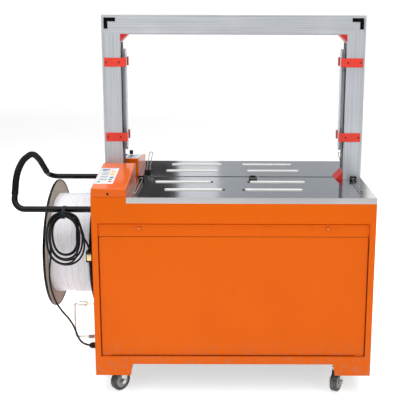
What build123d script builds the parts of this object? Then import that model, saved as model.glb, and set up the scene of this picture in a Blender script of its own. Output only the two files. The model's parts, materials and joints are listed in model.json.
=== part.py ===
"""Arch strapping machine on casters: cabinet, table, strap arch, side-mounted strap reel and power cord.

The model is laid out about the cabinet: X across the machine, Y from the operator (front) to the back,
Z up from the floor.  `write` then shifts every piece along X, so that the finished machine stands centred
on its own origin.  All sizes are in millimetres.
"""
from build123d import *
import os
from math import cos, pi, radians, sin, tan

# ---- driving dimensions ----
CABINET_W = 1000.0
CABINET_D = 640.0
TABLE_TOP = 756.0
ARCH_CLEAR_W = 850.0
ARCH_CLEAR_H = 555.0
ARCH_FACE = 70.0            # width of the arch profile, seen from the front
ARCH_DEPTH = 80.0
ARCH_Y = 10.0               # centre plane of the arch, a little behind the middle of the table
GUARD_REACH = 285.0         # from the side wall to the centre of the guard's handle
REEL_R = 247.0
ROLL_R = 197.0
SKIRT_BOTTOM = 87.0
WHEEL_R = 37.5

# ---- sheet, clearances and small sizes ----
SHEET = 2.0
RUNNING = 0.05              # radial clearance of a shaft in its bore
LOOSE = 0.4                 # clearance of parts that only pass one another
RIM_H = 21.0                # folded edge of the table plates
RECESS = 8.0                # the door lies this far behind the front face
DOOR_FLANGE = 12.0          # folded edge of the door
HINGE_R = 2.4
BEAD_R = 4.5                # half-round bead along the top of the header strip

SIDE_X = CABINET_W / 2
FRONT_Y = -CABINET_D / 2
REAR_Y = CABINET_D / 2
RIM_BOTTOM = TABLE_TOP - RIM_H
CASTER_TOP = 105.0
RAIL_H = 26.0
FLOOR_PLATE = CASTER_TOP + RAIL_H
ARCH_IN_X = ARCH_CLEAR_W / 2
ARCH_OUT_X = ARCH_IN_X + ARCH_FACE
ARCH_IN_Z = TABLE_TOP + ARCH_CLEAR_H
ARCH_OUT_Z = ARCH_IN_Z + ARCH_FACE
ARCH_FRONT = ARCH_Y - ARCH_DEPTH / 2
ARCH_BACK = ARCH_Y + ARCH_DEPTH / 2
ARCH_LIP = 9.0              # outer strip of the arch profile, set back from its faces
LIP_SET_BACK = 6.0
TRACK_W = 12.0              # groove that carries the strap round the arch
TRACK_DEPTH = 12.0
SLOT_W = 14.0               # gap between the two table plates
HOOD_W = 124.0              # width of the control hoods at the left of the arch
HOOD_END_X = -SIDE_X + HOOD_W
TUBE_R = 11.0
GUARD_Y = REAR_Y - 55.0
GUARD_Z = 698.0
REEL_Z = 492.0
REEL_INNER_X = -SIDE_X - 20.0
REEL_WIDTH = 165.0          # between the two flanges
FLANGE_T = 4.0
SHAFT_R = 12.0
CORD_R = 3.5

# The guard reaches furthest to the left and the table furthest to the right.
SHIFT_X = (GUARD_REACH + TUBE_R + 1.0) / 2


def write(name, *shapes):
    """Write one node: its solids, shifted from the cabinet's middle to the machine's own middle."""
    whole = shapes[0] if len(shapes) == 1 else Compound(children=list(shapes))
    export_step(Pos(SHIFT_X, 0, 0) * whole, f"parts/{name}.step")


def block(x0, x1, y0, y1, z0, z1):
    """A box from its limits along each axis."""
    return Pos((x0 + x1) / 2, (y0 + y1) / 2, (z0 + z1) / 2) * Box(abs(x1 - x0), abs(y1 - y0), abs(z1 - z0))


def rod(start, end, radius):
    """A round bar between two points."""
    a, b = Vector(*start), Vector(*end)
    plane = Plane(origin=a, z_dir=b - a)
    return plane * Cylinder(radius, (b - a).length, align=(Align.CENTER, Align.CENTER, Align.MIN))


def tube_along(points, radii, radius):
    """A round bar along straight runs joined by tangent arcs."""
    path = FilletPolyline(*points, radius=radii)
    return sweep((path ^ 0) * Circle(radius), path=path)


def prism_x(profile, x0, x1):
    """A solid with a (y, z) profile, from x0 to x1."""
    face = make_face(Polyline(*[(x0, y, z) for y, z in profile], close=True))
    return extrude(face, amount=x1 - x0, dir=(1, 0, 0))


def mirrored(shape):
    """The same piece on the other side of the cabinet."""
    return mirror(shape, about=Plane.YZ)


# ---- cabinet ----
DOOR_OPENING_X = 479.0
DOOR_OPENING_BOTTOM = 160.0
DOOR_OPENING_TOP = 662.0
HEADER_BOTTOM = 613.0
DOOR_GAP = 3.0
DOOR_TOP = HEADER_BOTTOM - 1.5
LOCK_X = 333.0
LOCK_Z = 642.0
LOCK_R = 7.6
FOOT_INNER_X = 372.0
FOOT_SLOPE = 6.0
GLAND_Y = FRONT_Y + 60.0
GLAND_Z = 175.0
GLAND_THREAD_R = 8.0
LOUVRES = 7


def foot_cutout(y0, y1):
    """The wide gap between the feet of a front or rear panel."""
    half = FOOT_INNER_X
    outline = Polyline((-half, y0, SKIRT_BOTTOM - 1), (half, y0, SKIRT_BOTTOM - 1),
                       (half - FOOT_SLOPE, y0, FLOOR_PLATE), (-half + FOOT_SLOPE, y0, FLOOR_PLATE),
                       close=True)
    return extrude(make_face(outline), amount=y1 - y0, dir=(0, 1, 0))


def side_panel(operator_side):
    """Side wall, flanged for the front and rear sheets; on the operator's left it rises to the hoods."""
    top = TABLE_TOP if operator_side else RIM_BOTTOM
    wall = block(-SIDE_X, -SIDE_X + SHEET, FRONT_Y, REAR_Y, SKIRT_BOTTOM, top)
    inner = -SIDE_X + SHEET
    for sign in (-1, 1):
        y_out = sign * (REAR_Y - SHEET)
        wall += block(inner, inner + 14, y_out - sign * SHEET, y_out, FLOOR_PLATE + 4, RIM_BOTTOM)
    wall += block(inner, inner + 14, FRONT_Y + 2 * SHEET, ARCH_FRONT - 2, RIM_BOTTOM - SHEET, RIM_BOTTOM)
    wall += block(inner, inner + 14, ARCH_BACK + 2, REAR_Y - 2 * SHEET, RIM_BOTTOM - SHEET, RIM_BOTTOM)
    if operator_side:
        wall -= rod((-SIDE_X - 1, GLAND_Y, GLAND_Z), (inner + 1, GLAND_Y, GLAND_Z), GLAND_THREAD_R)
    return wall


def louvred(wall):
    """The right wall lets the motor's air out through a row of slots."""
    for i in range(LOUVRES):
        z = 230 + 22 * i
        wall -= block(SIDE_X - SHEET - 1, SIDE_X + 1, 60, 220, z, z + 7)
    return wall


def front_frame():
    """Front sheet with the sunk door opening, its header strip and the two feet."""
    inner = SIDE_X - SHEET
    sheet = block(-inner, inner, FRONT_Y, FRONT_Y + SHEET, SKIRT_BOTTOM, RIM_BOTTOM)
    sheet += block(-inner, HOOD_END_X, FRONT_Y, FRONT_Y + SHEET, RIM_BOTTOM, TABLE_TOP)
    x_out = DOOR_OPENING_X + SHEET
    sheet += block(-x_out, x_out, FRONT_Y, FRONT_Y + RECESS + 4,
                   DOOR_OPENING_BOTTOM - SHEET, DOOR_OPENING_TOP + SHEET)
    sheet -= block(-DOOR_OPENING_X, DOOR_OPENING_X, FRONT_Y - 1, FRONT_Y + 40,
                   DOOR_OPENING_BOTTOM, DOOR_OPENING_TOP)
    sheet -= foot_cutout(FRONT_Y - 1, FRONT_Y + SHEET + 1)
    back = FRONT_Y + RECESS
    sheet += block(-DOOR_OPENING_X, DOOR_OPENING_X, back, back + SHEET, HEADER_BOTTOM, DOOR_OPENING_TOP)
    bead_z = DOOR_OPENING_TOP - BEAD_R - 1.5
    sheet += rod((-DOOR_OPENING_X, back, bead_z), (DOOR_OPENING_X, back, bead_z), BEAD_R)
    for x in (-LOCK_X, LOCK_X):
        sheet -= rod((x, back - 1, LOCK_Z), (x, back + SHEET + 1, LOCK_Z), LOCK_R + LOOSE)
    return sheet


def rear_panel():
    """Rear sheet with the same feet and a block of cooling slots."""
    inner = SIDE_X - SHEET
    sheet = block(-inner, inner, REAR_Y - SHEET, REAR_Y, SKIRT_BOTTOM, RIM_BOTTOM)
    sheet += block(-inner, HOOD_END_X, REAR_Y - SHEET, REAR_Y, RIM_BOTTOM, TABLE_TOP)
    sheet -= foot_cutout(REAR_Y - SHEET - 1, REAR_Y + 1)
    for i in range(LOUVRES):
        z = 480 + 22 * i
        for x in (-260, 80):
            sheet -= block(x, x + 180, REAR_Y - SHEET - 1, REAR_Y + 1, z, z + 7)
    return sheet


def front_door():
    """Sheet pan that hinges outwards on the two knuckles at its lower edge."""
    face = FRONT_Y + RECESS
    back = face + 1.5
    x = DOOR_OPENING_X - DOOR_GAP
    z0 = DOOR_OPENING_BOTTOM + DOOR_GAP
    door = block(-x, x, face, back, z0, DOOR_TOP)
    edge = back + DOOR_FLANGE
    for side in (-1, 1):
        door += block(side * (x - 1.5), side * x, back, edge, z0, DOOR_TOP)
        door += rod((side * (x - 34), face, z0), (side * (x - 2), face, z0), HINGE_R)
    door += block(-x, x, back, edge, z0, z0 + 1.5)
    door += block(-x, x, back, edge, DOOR_TOP - 1.5, DOOR_TOP)
    return door


def door_lock(x):
    """Quarter-turn lock: slotted head, spindle and the tongue that turns down behind the door's flange."""
    back = FRONT_Y + RECESS
    tongue = back + 1.5 + DOOR_FLANGE + 1
    lock = rod((x, back - 4, LOCK_Z), (x, back - LOOSE, LOCK_Z), 8)
    lock += rod((x, back - LOOSE, LOCK_Z), (x, tongue + 3, LOCK_Z), LOCK_R)
    lock -= block(x - 6, x + 6, back - 5, back - 2.5, LOCK_Z - 1, LOCK_Z + 1)
    lock += block(x - 9, x + 42, tongue, tongue + 3, LOCK_Z - 9, LOCK_Z + 9)
    return lock


def cabinet():
    write("side_panel_left", side_panel(True))
    write("side_panel_right", louvred(mirrored(side_panel(False))))
    write("front_frame", front_frame())
    write("rear_panel", rear_panel())
    inner = SIDE_X - SHEET
    floor = block(-inner, inner, FRONT_Y + SHEET, REAR_Y - SHEET, FLOOR_PLATE, FLOOR_PLATE + 3)
    end = REAR_Y - 10
    rail = block(370, 430, -end, end, CASTER_TOP, FLOOR_PLATE)
    rail -= block(373, 427, -end - 1, end + 1, CASTER_TOP + 3, FLOOR_PLATE - 3)
    write("chassis", floor + rail + mirrored(rail))
    write("front_door", front_door())
    write("door_lock_left", door_lock(-LOCK_X))
    write("door_lock_right", door_lock(LOCK_X))


# ---- table ----
STRIP_L = 210.0
STRIP_W = 18.0
STRIP_H = 3.0


def table_plate(sign):
    """Stainless half of the table, notched round the feet of the arch; under a hood it has no folded rim."""
    slot = ARCH_Y + sign * SLOT_W / 2
    edge = sign * REAR_Y
    inset = edge - sign * SHEET
    plate = block(-SIDE_X + SHEET, HOOD_END_X, slot, inset, TABLE_TOP - SHEET, TABLE_TOP)
    plate += block(HOOD_END_X, SIDE_X, slot, edge, TABLE_TOP - SHEET, TABLE_TOP)
    plate += block(HOOD_END_X, SIDE_X, inset, edge, RIM_BOTTOM, TABLE_TOP - SHEET)
    plate += block(SIDE_X - SHEET, SIDE_X, slot, edge, RIM_BOTTOM, TABLE_TOP - SHEET)
    for side in (-1, 1):
        plate -= block(side * (ARCH_IN_X - 1), side * (SIDE_X - SHEET), ARCH_FRONT - 1, ARCH_BACK + 1,
                       TABLE_TOP - 5, TABLE_TOP + 1)
    return plate


def glide_strips(places):
    """Low-friction strips with rounded ends, each (x of the middle, y)."""
    strips = []
    for x, y in places:
        strip = extrude(SlotOverall(STRIP_L, STRIP_W), STRIP_H / 2, both=True)
        strips.append(Pos(x, y, TABLE_TOP + STRIP_H / 2) * strip)
    return strips


def slot_channel():
    """Black strap channel under the gap between the table plates."""
    half = SLOT_W / 2
    end = ARCH_IN_X - 2
    channel = block(-end, end, ARCH_Y - half, ARCH_Y + half, TABLE_TOP - 18, TABLE_TOP - 1)
    channel -= block(-ARCH_IN_X, ARCH_IN_X, ARCH_Y - 3, ARCH_Y + 3, TABLE_TOP - 9, TABLE_TOP)
    channel -= block(-38, 22, ARCH_Y - 5, ARCH_Y + 5, TABLE_TOP - 14, TABLE_TOP)
    return channel


def table():
    write("front_table_plate", table_plate(-1))
    write("rear_table_plate", table_plate(1))
    write("glide_strips", *glide_strips([(-191, -81), (-146, -204), (169, -81), (147, -204),
                                         (-165, 117), (-151, 240), (164, 117), (146, 240)]))
    write("strap_slot_channel", slot_channel())
    anvil = block(61, 93, -52, 6, TABLE_TOP + LOOSE, TABLE_TOP + 4)
    anvil += block(66, 88, -6, 6, TABLE_TOP + 4, TABLE_TOP + 7)
    write("sealing_anvil", anvil)


# ---- arch ----
CLIP_H = 33.0
CLIP_LEVELS = (TABLE_TOP + 148.0, ARCH_IN_Z - 122.0)
GATE_BOTTOM = TABLE_TOP + 110.0
GATE_TOP = ARCH_IN_Z - 57.0
GUIDE_LEG = 29.0


def arch_post():
    """Left post: boxed profile with the strap groove inside and the set-back outer lip."""
    foot = TABLE_TOP - 55
    lip_x = -ARCH_OUT_X + ARCH_LIP
    post = block(lip_x, -ARCH_IN_X, ARCH_FRONT, ARCH_BACK, foot, ARCH_IN_Z)
    post += block(-ARCH_OUT_X, lip_x, ARCH_FRONT + LIP_SET_BACK, ARCH_BACK - LIP_SET_BACK, foot, ARCH_IN_Z)
    post -= block(-ARCH_IN_X - TRACK_DEPTH, -ARCH_IN_X + 1, ARCH_Y - TRACK_W / 2, ARCH_Y + TRACK_W / 2,
                  TABLE_TOP, ARCH_IN_Z)
    return post


def arch_beam():
    """Top of the arch, with the same profile."""
    lip_z = ARCH_OUT_Z - ARCH_LIP
    lip_x = ARCH_OUT_X - ARCH_LIP
    y0, y1 = ARCH_FRONT + LIP_SET_BACK, ARCH_BACK - LIP_SET_BACK
    beam = block(-lip_x, lip_x, ARCH_FRONT, ARCH_BACK, ARCH_IN_Z, lip_z)
    beam += block(-ARCH_OUT_X, ARCH_OUT_X, y0, y1, ARCH_IN_Z, ARCH_OUT_Z)
    beam -= block(-ARCH_IN_X, ARCH_IN_X, ARCH_Y - TRACK_W / 2, ARCH_Y + TRACK_W / 2, ARCH_IN_Z - 1,
                  ARCH_IN_Z + TRACK_DEPTH)
    return beam


def corner_bracket(y0, y1, screw_y):
    """L-shaped plate with three screw heads, on one face of the upper left corner."""
    x = -ARCH_OUT_X + ARCH_LIP + 1
    top = ARCH_OUT_Z - ARCH_LIP - 1
    plate = block(x, x + 43, y0, y1, top - 14, top)
    plate += block(x, x + 14, y0, y1, top - 41, top - 14)
    for dx, dz in ((7, 7), (36, 7), (7, 34)):
        plate += rod((x + dx, screw_y, top - dz), (x + dx, y0 if screw_y < y0 else y1, top - dz), 3.5)
    return plate


def corner_guide(x_side, z_side):
    """Triangular block that turns the strap round an inner corner of the arch."""
    x = x_side * ARCH_IN_X
    z = ARCH_IN_Z if z_side > 0 else TABLE_TOP
    corners = Polyline((x, ARCH_FRONT, z), (x - x_side * GUIDE_LEG, ARCH_FRONT, z),
                       (x, ARCH_FRONT, z - z_side * GUIDE_LEG), close=True)
    return extrude(make_face(corners), amount=ARCH_DEPTH, dir=(0, 1, 0))


def gate_clip(z):
    """Bracket round the left post that holds the strap gate, front and back plates tied by a bar."""
    reach = -ARCH_IN_X + 20
    out = -ARCH_OUT_X + 8
    clip = block(out, reach, ARCH_FRONT - 3, ARCH_FRONT, z, z + CLIP_H)
    clip += block(reach - 3, reach, ARCH_FRONT, ARCH_FRONT + 14, z, z + CLIP_H)
    clip -= rod((out + 10, ARCH_FRONT - 4, z + 17), (out + 10, ARCH_FRONT + 1, z + 17), 3)
    back = block(out, reach, ARCH_BACK, ARCH_BACK + 3, z, z + CLIP_H)
    back += block(reach - 3, reach, ARCH_BACK - 14, ARCH_BACK, z, z + CLIP_H)
    return [clip, back]


def strap_gate():
    """Left gate: an aluminium flap with tapered ends that keeps the strap in its groove."""
    face = -ARCH_IN_X + 16
    z_mid = (GATE_BOTTOM + GATE_TOP) / 2
    flap = block(face - 3, face, ARCH_Y - 18, ARCH_Y + 18, GATE_BOTTOM + 14, GATE_TOP - 14)
    web = block(-ARCH_IN_X - 5, face - 3, ARCH_Y - 4, ARCH_Y + 4, GATE_BOTTOM, GATE_TOP)
    tip = Polyline((face, ARCH_Y - 18, GATE_BOTTOM + 14), (face, ARCH_Y + 18, GATE_BOTTOM + 14),
                   (face, ARCH_Y + 9, GATE_BOTTOM), (face, ARCH_Y - 9, GATE_BOTTOM), close=True)
    tip = extrude(make_face(tip), amount=3, dir=(-1, 0, 0))
    return flap + web + tip + mirror(tip, about=Plane.XY.offset(z_mid))


def arch():
    post = arch_post()
    write("arch_post_left", post)
    write("arch_post_right", mirrored(post))
    write("arch_beam", arch_beam())
    front = corner_bracket(ARCH_FRONT - 2, ARCH_FRONT, ARCH_FRONT - 4)
    back = corner_bracket(ARCH_BACK, ARCH_BACK + 2, ARCH_BACK + 4)
    write("corner_brackets", front, back, mirrored(front), mirrored(back))
    write("corner_guides", *[corner_guide(sx, sz) for sx in (-1, 1) for sz in (-1, 1)])
    clips = [piece for z in CLIP_LEVELS for piece in gate_clip(z)]
    write("gate_clips_left", *clips)
    write("gate_clips_right", *[mirrored(piece) for piece in clips])
    gate = strap_gate()
    write("strap_gate_left", gate)
    write("strap_gate_right", mirrored(gate))


# ---- control hoods and wire bails ----
HOOD_LOW = 31.0             # height of a hood over the table at the edge of the machine
HOOD_HIGH = 64.0            # and next to the arch
HOOD_CORNER_R = 4.0
SWITCH_Y = 215.0
SWITCH_PIVOT_Z = TABLE_TOP + 42.0
KNOB_Y = 290.0
BAIL_WIRE_R = 1.6
BAIL_W = 12.0
BAIL_Z = TABLE_TOP + 8.0
PIVOT_Y = 46.0              # bail pivots in front of and behind the arch's middle


def hood_profile(sign, inset):
    """(y, z) outline of a hood; the inset one is its hollow."""
    near = (ARCH_FRONT - 3) if sign < 0 else (ARCH_BACK + 4)
    far = sign * (REAR_Y - 2)
    floor = TABLE_TOP - (1 if inset else 0)
    return [(near + sign * inset, floor), (near + sign * inset, TABLE_TOP + HOOD_HIGH - inset),
            (far - sign * inset, TABLE_TOP + HOOD_LOW - inset), (far - sign * inset, floor)]


def hood(sign):
    """Folded sheet hood with a sloping top and rounded corners, open underneath."""
    shell = prism_x(hood_profile(sign, 0), -SIDE_X, HOOD_END_X)
    shell = fillet(shell.edges().filter_by(lambda edge: edge.center().Z > TABLE_TOP + 1), HOOD_CORNER_R)
    return shell - prism_x(hood_profile(sign, SHEET), -SIDE_X + SHEET, HOOD_END_X - SHEET)


def hood_top(y):
    """Height of the rear hood's sloping top over a given y."""
    near, far = ARCH_BACK + 4, REAR_Y - 2
    return TABLE_TOP + HOOD_HIGH + (HOOD_LOW - HOOD_HIGH) * (y - near) / (far - near)


def bail(x, sign, length, rise):
    """U of spring wire from its pivot, tilted up by `rise` degrees."""
    y0 = ARCH_Y + sign * (PIVOT_Y + 14)
    half = BAIL_W / 2
    points = [(half, 0, 0), (half, sign * length, 0), (-half, sign * length, 0), (-half, 0, 0)]
    loop = tube_along(points, [half - 0.5, half - 0.5], BAIL_WIRE_R)
    loop += rod((-half, 0, 0), (half, 0, 0), BAIL_WIRE_R)
    return Pos(x, y0, BAIL_Z) * Rot(sign * rise, 0, 0) * loop


def bail_block(x, sign):
    """Black pivot block of a bail, slotted for its wire."""
    y0 = ARCH_Y + sign * (PIVOT_Y + 14)
    base = block(x - 12, x + 12, y0 - 8, y0 + 8, TABLE_TOP, TABLE_TOP + 15)
    slot = block(x - 8.5, x + 8.5, y0 - 5, y0 + 5, TABLE_TOP + 4, TABLE_TOP + 16)
    slot += block(x - 8.5, x + 8.5, y0, y0 + sign * 9, TABLE_TOP + 4, TABLE_TOP + 16)
    return base - slot


BAILS = {"bail_front_left": (-352, -1, 232, 0), "bail_front_right": (462, -1, 180, 0),
         "bail_rear_left": (-340, 1, 150, 20), "bail_rear_right": (448, 1, 150, 20)}


def controls():
    write("control_hood_front", hood(-1))
    rear = hood(1)
    switch_x, knob_x = -SIDE_X + 50, -SIDE_X + 66
    z = hood_top(SWITCH_Y)
    opening = block(switch_x - 8, switch_x + 8, SWITCH_Y - 13, SWITCH_Y + 13, z - 8, z + 8)
    write("control_hood_rear", rear - opening)
    rocker = block(switch_x - 7, switch_x + 7, SWITCH_Y - 10, SWITCH_Y + 10, z - 3, z + 4)
    rocker += rod((switch_x - 7.6, SWITCH_Y, SWITCH_PIVOT_Z), (switch_x + 7.6, SWITCH_Y, SWITCH_PIVOT_Z), 2)
    write("power_switch", rocker)
    knob_z = hood_top(KNOB_Y) + 1.5
    knob = rod((knob_x, KNOB_Y, knob_z), (knob_x, KNOB_Y, knob_z + 15), 7.5)
    knob += block(knob_x - 1, knob_x + 1, KNOB_Y - 7.5, KNOB_Y + 2, knob_z + 15, knob_z + 16)
    write("tension_knob", knob)
    write("bail_blocks", *[bail_block(x, sign) for x, sign, _, _ in BAILS.values()])
    for name, (x, sign, length, rise) in BAILS.items():
        write(name, bail(x, sign, length, rise))


# ---- guard bar ----
HANDLE_X = -SIDE_X - GUARD_REACH
HANDLE_GAP = 0.15
HANDLE_RISE = 151.0         # the handle's crown over the side tubes


def guard():
    """Tubular guard round the reel: two side tubes with elbows, and the raised foam-covered handle."""
    crown = GUARD_Z + HANDLE_RISE
    front_end = (HANDLE_X, -GUARD_Y + 24, GUARD_Z + 52)
    rear_end = (HANDLE_X, GUARD_Y - 46, GUARD_Z + 32)
    front = tube_along([(-SIDE_X, -GUARD_Y, GUARD_Z), (HANDLE_X, -GUARD_Y, GUARD_Z), front_end], [40], TUBE_R)
    rear = tube_along([(-SIDE_X, GUARD_Y, GUARD_Z), (HANDLE_X, GUARD_Y, GUARD_Z), rear_end], [40], TUBE_R)
    flanges = [rod((-SIDE_X, y, GUARD_Z), (-SIDE_X - 5, y, GUARD_Z), 24)
               - rod((-SIDE_X + 1, y, GUARD_Z), (-SIDE_X - 6, y, GUARD_Z), TUBE_R)
               for y in (-GUARD_Y, GUARD_Y)]
    write("guard_bar", front, rear, *flanges)
    start = (HANDLE_X, front_end[1] + HANDLE_GAP, front_end[2] + 2 * HANDLE_GAP)
    end = (HANDLE_X, rear_end[1] - HANDLE_GAP, rear_end[2] + HANDLE_GAP)
    points = [start, (HANDLE_X, -GUARD_Y + 52, crown - 37), (HANDLE_X, -GUARD_Y + 135, crown - 2),
              (HANDLE_X, 20, crown), (HANDLE_X, 120, crown - 50), end]
    write("guard_handle", tube_along(points, [90, 240, 260, 300], TUBE_R + 1))


# ---- reel ----
def ring_x(x0, x1, outer, inner):
    """A ring about the reel's axis."""
    disc = rod((x0, 0, REEL_Z), (x1, 0, REEL_Z), outer)
    return disc - rod((min(x0, x1) - 1, 0, REEL_Z), (max(x0, x1) + 1, 0, REEL_Z), inner)


def reel():
    inner = REEL_INNER_X
    outer = inner - FLANGE_T - REEL_WIDTH
    shaft = rod((-SIDE_X, 0, REEL_Z), (outer - 28, 0, REEL_Z), SHAFT_R)
    shaft += rod((-SIDE_X, 0, REEL_Z), (-SIDE_X - 5, 0, REEL_Z), 45)
    write("reel_shaft", shaft)
    bore = SHAFT_R + RUNNING
    flange = ring_x(inner, inner - FLANGE_T, REEL_R, bore)
    write("reel_flange_inner", flange)
    write("reel_flange_outer", ring_x(outer, outer - FLANGE_T, REEL_R, bore))
    drum = ring_x(inner - FLANGE_T, outer, 75, 70)
    for x in (inner - FLANGE_T, outer + 5):
        drum += ring_x(x, x - 5, 72, bore)
    write("reel_drum", drum)
    write("strap_roll", ring_x(inner - FLANGE_T - 1, outer + 1, ROLL_R, 75.2))
    nut = ring_x(outer - FLANGE_T, outer - FLANGE_T - 16, 30, bore)
    for i in range(5):
        angle = 2 * pi * i / 5
        lobe = (28 * cos(angle), REEL_Z + 28 * sin(angle))
        nut += rod((outer - FLANGE_T, *lobe), (outer - FLANGE_T - 16, *lobe), 9)
    write("reel_nut", nut)


# ---- brake arm ----
ARM_Y = FRONT_Y + 80.0
ARM_PIVOT_Z = 200.0
ARM_TOP_Z = 330.0
ARM_OUT_X = -SIDE_X - 87.0
ARM_R = 4.0


def brake_arm():
    """Wire U that rides on the strap: pivots on its lower rod, and carries a roller on the upper one."""
    wall = -SIDE_X
    points = [(wall - 12, ARM_Y, ARM_PIVOT_Z), (ARM_OUT_X, ARM_Y, ARM_PIVOT_Z), (ARM_OUT_X, ARM_Y, ARM_TOP_Z),
              (wall - 4, ARM_Y, ARM_TOP_Z)]
    write("brake_arm", tube_along(points, [12, 12], ARM_R))
    bracket = block(wall, wall - 4, ARM_Y - 12, ARM_Y + 16, ARM_PIVOT_Z - 10, ARM_PIVOT_Z + 60)
    bracket += rod((wall - 4, ARM_Y, ARM_PIVOT_Z), (wall - 11, ARM_Y, ARM_PIVOT_Z), 9)
    bracket += block(wall, wall - 4, ARM_Y - 8, ARM_Y + 8, ARM_PIVOT_Z + 50, ARM_TOP_Z - 9)
    bracket += block(wall - 4, wall - 14, ARM_Y - 8, ARM_Y + 8, ARM_TOP_Z - 46, ARM_TOP_Z - 9)
    write("brake_bracket", bracket)
    roller = rod((wall - 68, ARM_Y, ARM_TOP_Z), (wall - 44, ARM_Y, ARM_TOP_Z), 11)
    roller -= rod((wall - 69, ARM_Y, ARM_TOP_Z), (wall - 43, ARM_Y, ARM_TOP_Z), ARM_R + RUNNING)
    write("brake_roller", roller)


# ---- casters ----
CASTER_X = 401.0
CASTER_Y = REAR_Y - 80.0
TRAIL = 28.0
WHEEL_W = 25.0
AXLE_R = 5.0
CASTERS = {"front_left": (-1, -1, 225), "front_right": (1, -1, 240),
           "rear_left": (-1, 1, 120), "rear_right": (1, 1, 205)}


def caster_fork():
    """Swivel fork, trailing along +X, with its axle."""
    top = CASTER_TOP - 10
    fork = Pos(0, 0, top - 4) * Cylinder(21, 7)
    fork += block(-8, TRAIL + 6, -WHEEL_W / 2 - 6, WHEEL_W / 2 + 6, top - 7.5, top - 4.5)
    for side in (-1, 1):
        inner, outer = side * (WHEEL_W / 2 + 3), side * (WHEEL_W / 2 + 6)
        leg = Polyline((-8, inner, top - 5), (TRAIL + 6, inner, top - 5), (TRAIL + 8, inner, WHEEL_R - 8),
                       (TRAIL - 8, inner, WHEEL_R - 8), close=True)
        fork += extrude(make_face(leg), amount=3, dir=(0, side, 0))
    fork += rod((TRAIL, -WHEEL_W / 2 - 8, WHEEL_R), (TRAIL, WHEEL_W / 2 + 8, WHEEL_R), AXLE_R)
    return fork


def caster_wheel():
    """Solid wheel with a rounded tread."""
    wheel = rod((TRAIL, -WHEEL_W / 2, WHEEL_R), (TRAIL, WHEEL_W / 2, WHEEL_R), WHEEL_R)
    wheel = fillet(wheel.edges().filter_by(GeomType.CIRCLE), 4)
    return wheel - rod((TRAIL, -WHEEL_W, WHEEL_R), (TRAIL, WHEEL_W, WHEEL_R), AXLE_R + RUNNING)


def casters():
    plates = []
    for name, (sx, sy, angle) in CASTERS.items():
        place = Pos(sx * CASTER_X, sy * CASTER_Y, 0)
        mounting = Pos(0, 0, CASTER_TOP - 2) * Box(58, 76, 4)
        plates.append(place * (mounting + Pos(0, 0, CASTER_TOP - 7) * Cylinder(14, 6)))
        write(f"caster_fork_{name}", place * Rot(0, 0, angle) * caster_fork())
        write(f"caster_wheel_{name}", place * Rot(0, 0, angle) * caster_wheel())
    write("caster_plates", *plates)


# ---- machinery inside the cabinet ----
DECK_Z = 430.0
ROLLER_X = -60.0
DRIVE_R = 30.0
PINCH_R = 20.0
DRIVE_Z = 650.0
PULLEY_Y = -80.0
MOTOR_X = -220.0
MOTOR_Z = 500.0


def head_frame():
    """Deck on four legs, and the two cheeks that carry the feed rollers."""
    frame = block(-290, 110, -110, 110, DECK_Z, DECK_Z + 4)
    for x in (-285, 105):
        for y in (-105, 105):
            frame += block(x - 5, x + 5, y - 5, y + 5, FLOOR_PLATE + 3, DECK_Z)
    for y in (-46, 34):
        cheek = block(-110, 50, y, y + 12, DECK_Z + 4, TABLE_TOP - 22)
        cheek -= block(-30, 30, y - 1, y + 13, DECK_Z + 60, DRIVE_Z - 60)
        for z, r in ((DRIVE_Z, 8), (DRIVE_Z + DRIVE_R + PINCH_R + LOOSE, 6)):
            cheek -= rod((ROLLER_X, y - 1, z), (ROLLER_X, y + 13, z), r + RUNNING)
        frame += cheek
    return frame


def machinery():
    write("strapping_head_frame", head_frame())
    drive = rod((ROLLER_X, -33, DRIVE_Z), (ROLLER_X, 33, DRIVE_Z), DRIVE_R)
    drive += rod((ROLLER_X, PULLEY_Y - 6, DRIVE_Z), (ROLLER_X, 50, DRIVE_Z), 8)
    drive += rod((ROLLER_X, PULLEY_Y - 6, DRIVE_Z), (ROLLER_X, PULLEY_Y + 6, DRIVE_Z), DRIVE_R)
    write("feed_roller", drive)
    pinch_z = DRIVE_Z + DRIVE_R + PINCH_R + LOOSE
    pinch = rod((ROLLER_X, -33, pinch_z), (ROLLER_X, 33, pinch_z), PINCH_R)
    pinch += rod((ROLLER_X, -48, pinch_z), (ROLLER_X, 48, pinch_z), 6)
    write("pinch_roller", pinch)
    motor = rod((MOTOR_X, -60, MOTOR_Z), (MOTOR_X, 90, MOTOR_Z), 55)
    motor += rod((MOTOR_X, -90, MOTOR_Z), (MOTOR_X, -60, MOTOR_Z), 9)
    motor += block(MOTOR_X - 50, MOTOR_X + 50, -20, 80, DECK_Z + 4, MOTOR_Z - 40)
    write("drive_motor", motor)
    back = REAR_Y - 40
    floor = FLOOR_PLATE + 3
    case = block(170, 430, 60, back, floor, 380) - block(172, 428, 62, back - 2, floor + 2, 378)
    write("electrical_box", case)


# ---- power cord ----
COIL_X, COIL_Y, COIL_Z = -600.0, -288.5, 600.0
COIL_A = 57.0               # half width of the coil's centre line
COIL_STRAIGHT = 54.0        # its straight sides
COIL_BUNDLE_R = 10.5
PLUG = (-514.0, -292.0, 533.0)
TAIL = [(-532, -260, 175), (-555, -260, 180), (-572, -264, 205), (-581, -267, 241),
        (-597, -269, 277), (-624, -273, 312), (-646, -277, 350), (-659, -281, 396),
        (-664, -284, 440), (-662, -286, 484), (-655, -288, 524), (-654, -289, 566)]
PLUG_LEAD = [(-544, -289, 640), (-541, -290, 612), (-524, -292, 586), (-514, -292, 559.4)]


def bend_radii(points):
    """The largest arc that each corner leaves room for: 0.45 of its shorter run."""
    radii = []
    for a, b, c in zip(points, points[1:], points[2:]):
        before, after = Vector(*b) - Vector(*a), Vector(*c) - Vector(*b)
        turn = radians(before.get_angle(after))
        radii.append(0.45 * min(before.length, after.length) / tan(turn / 2))
    return radii


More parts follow.
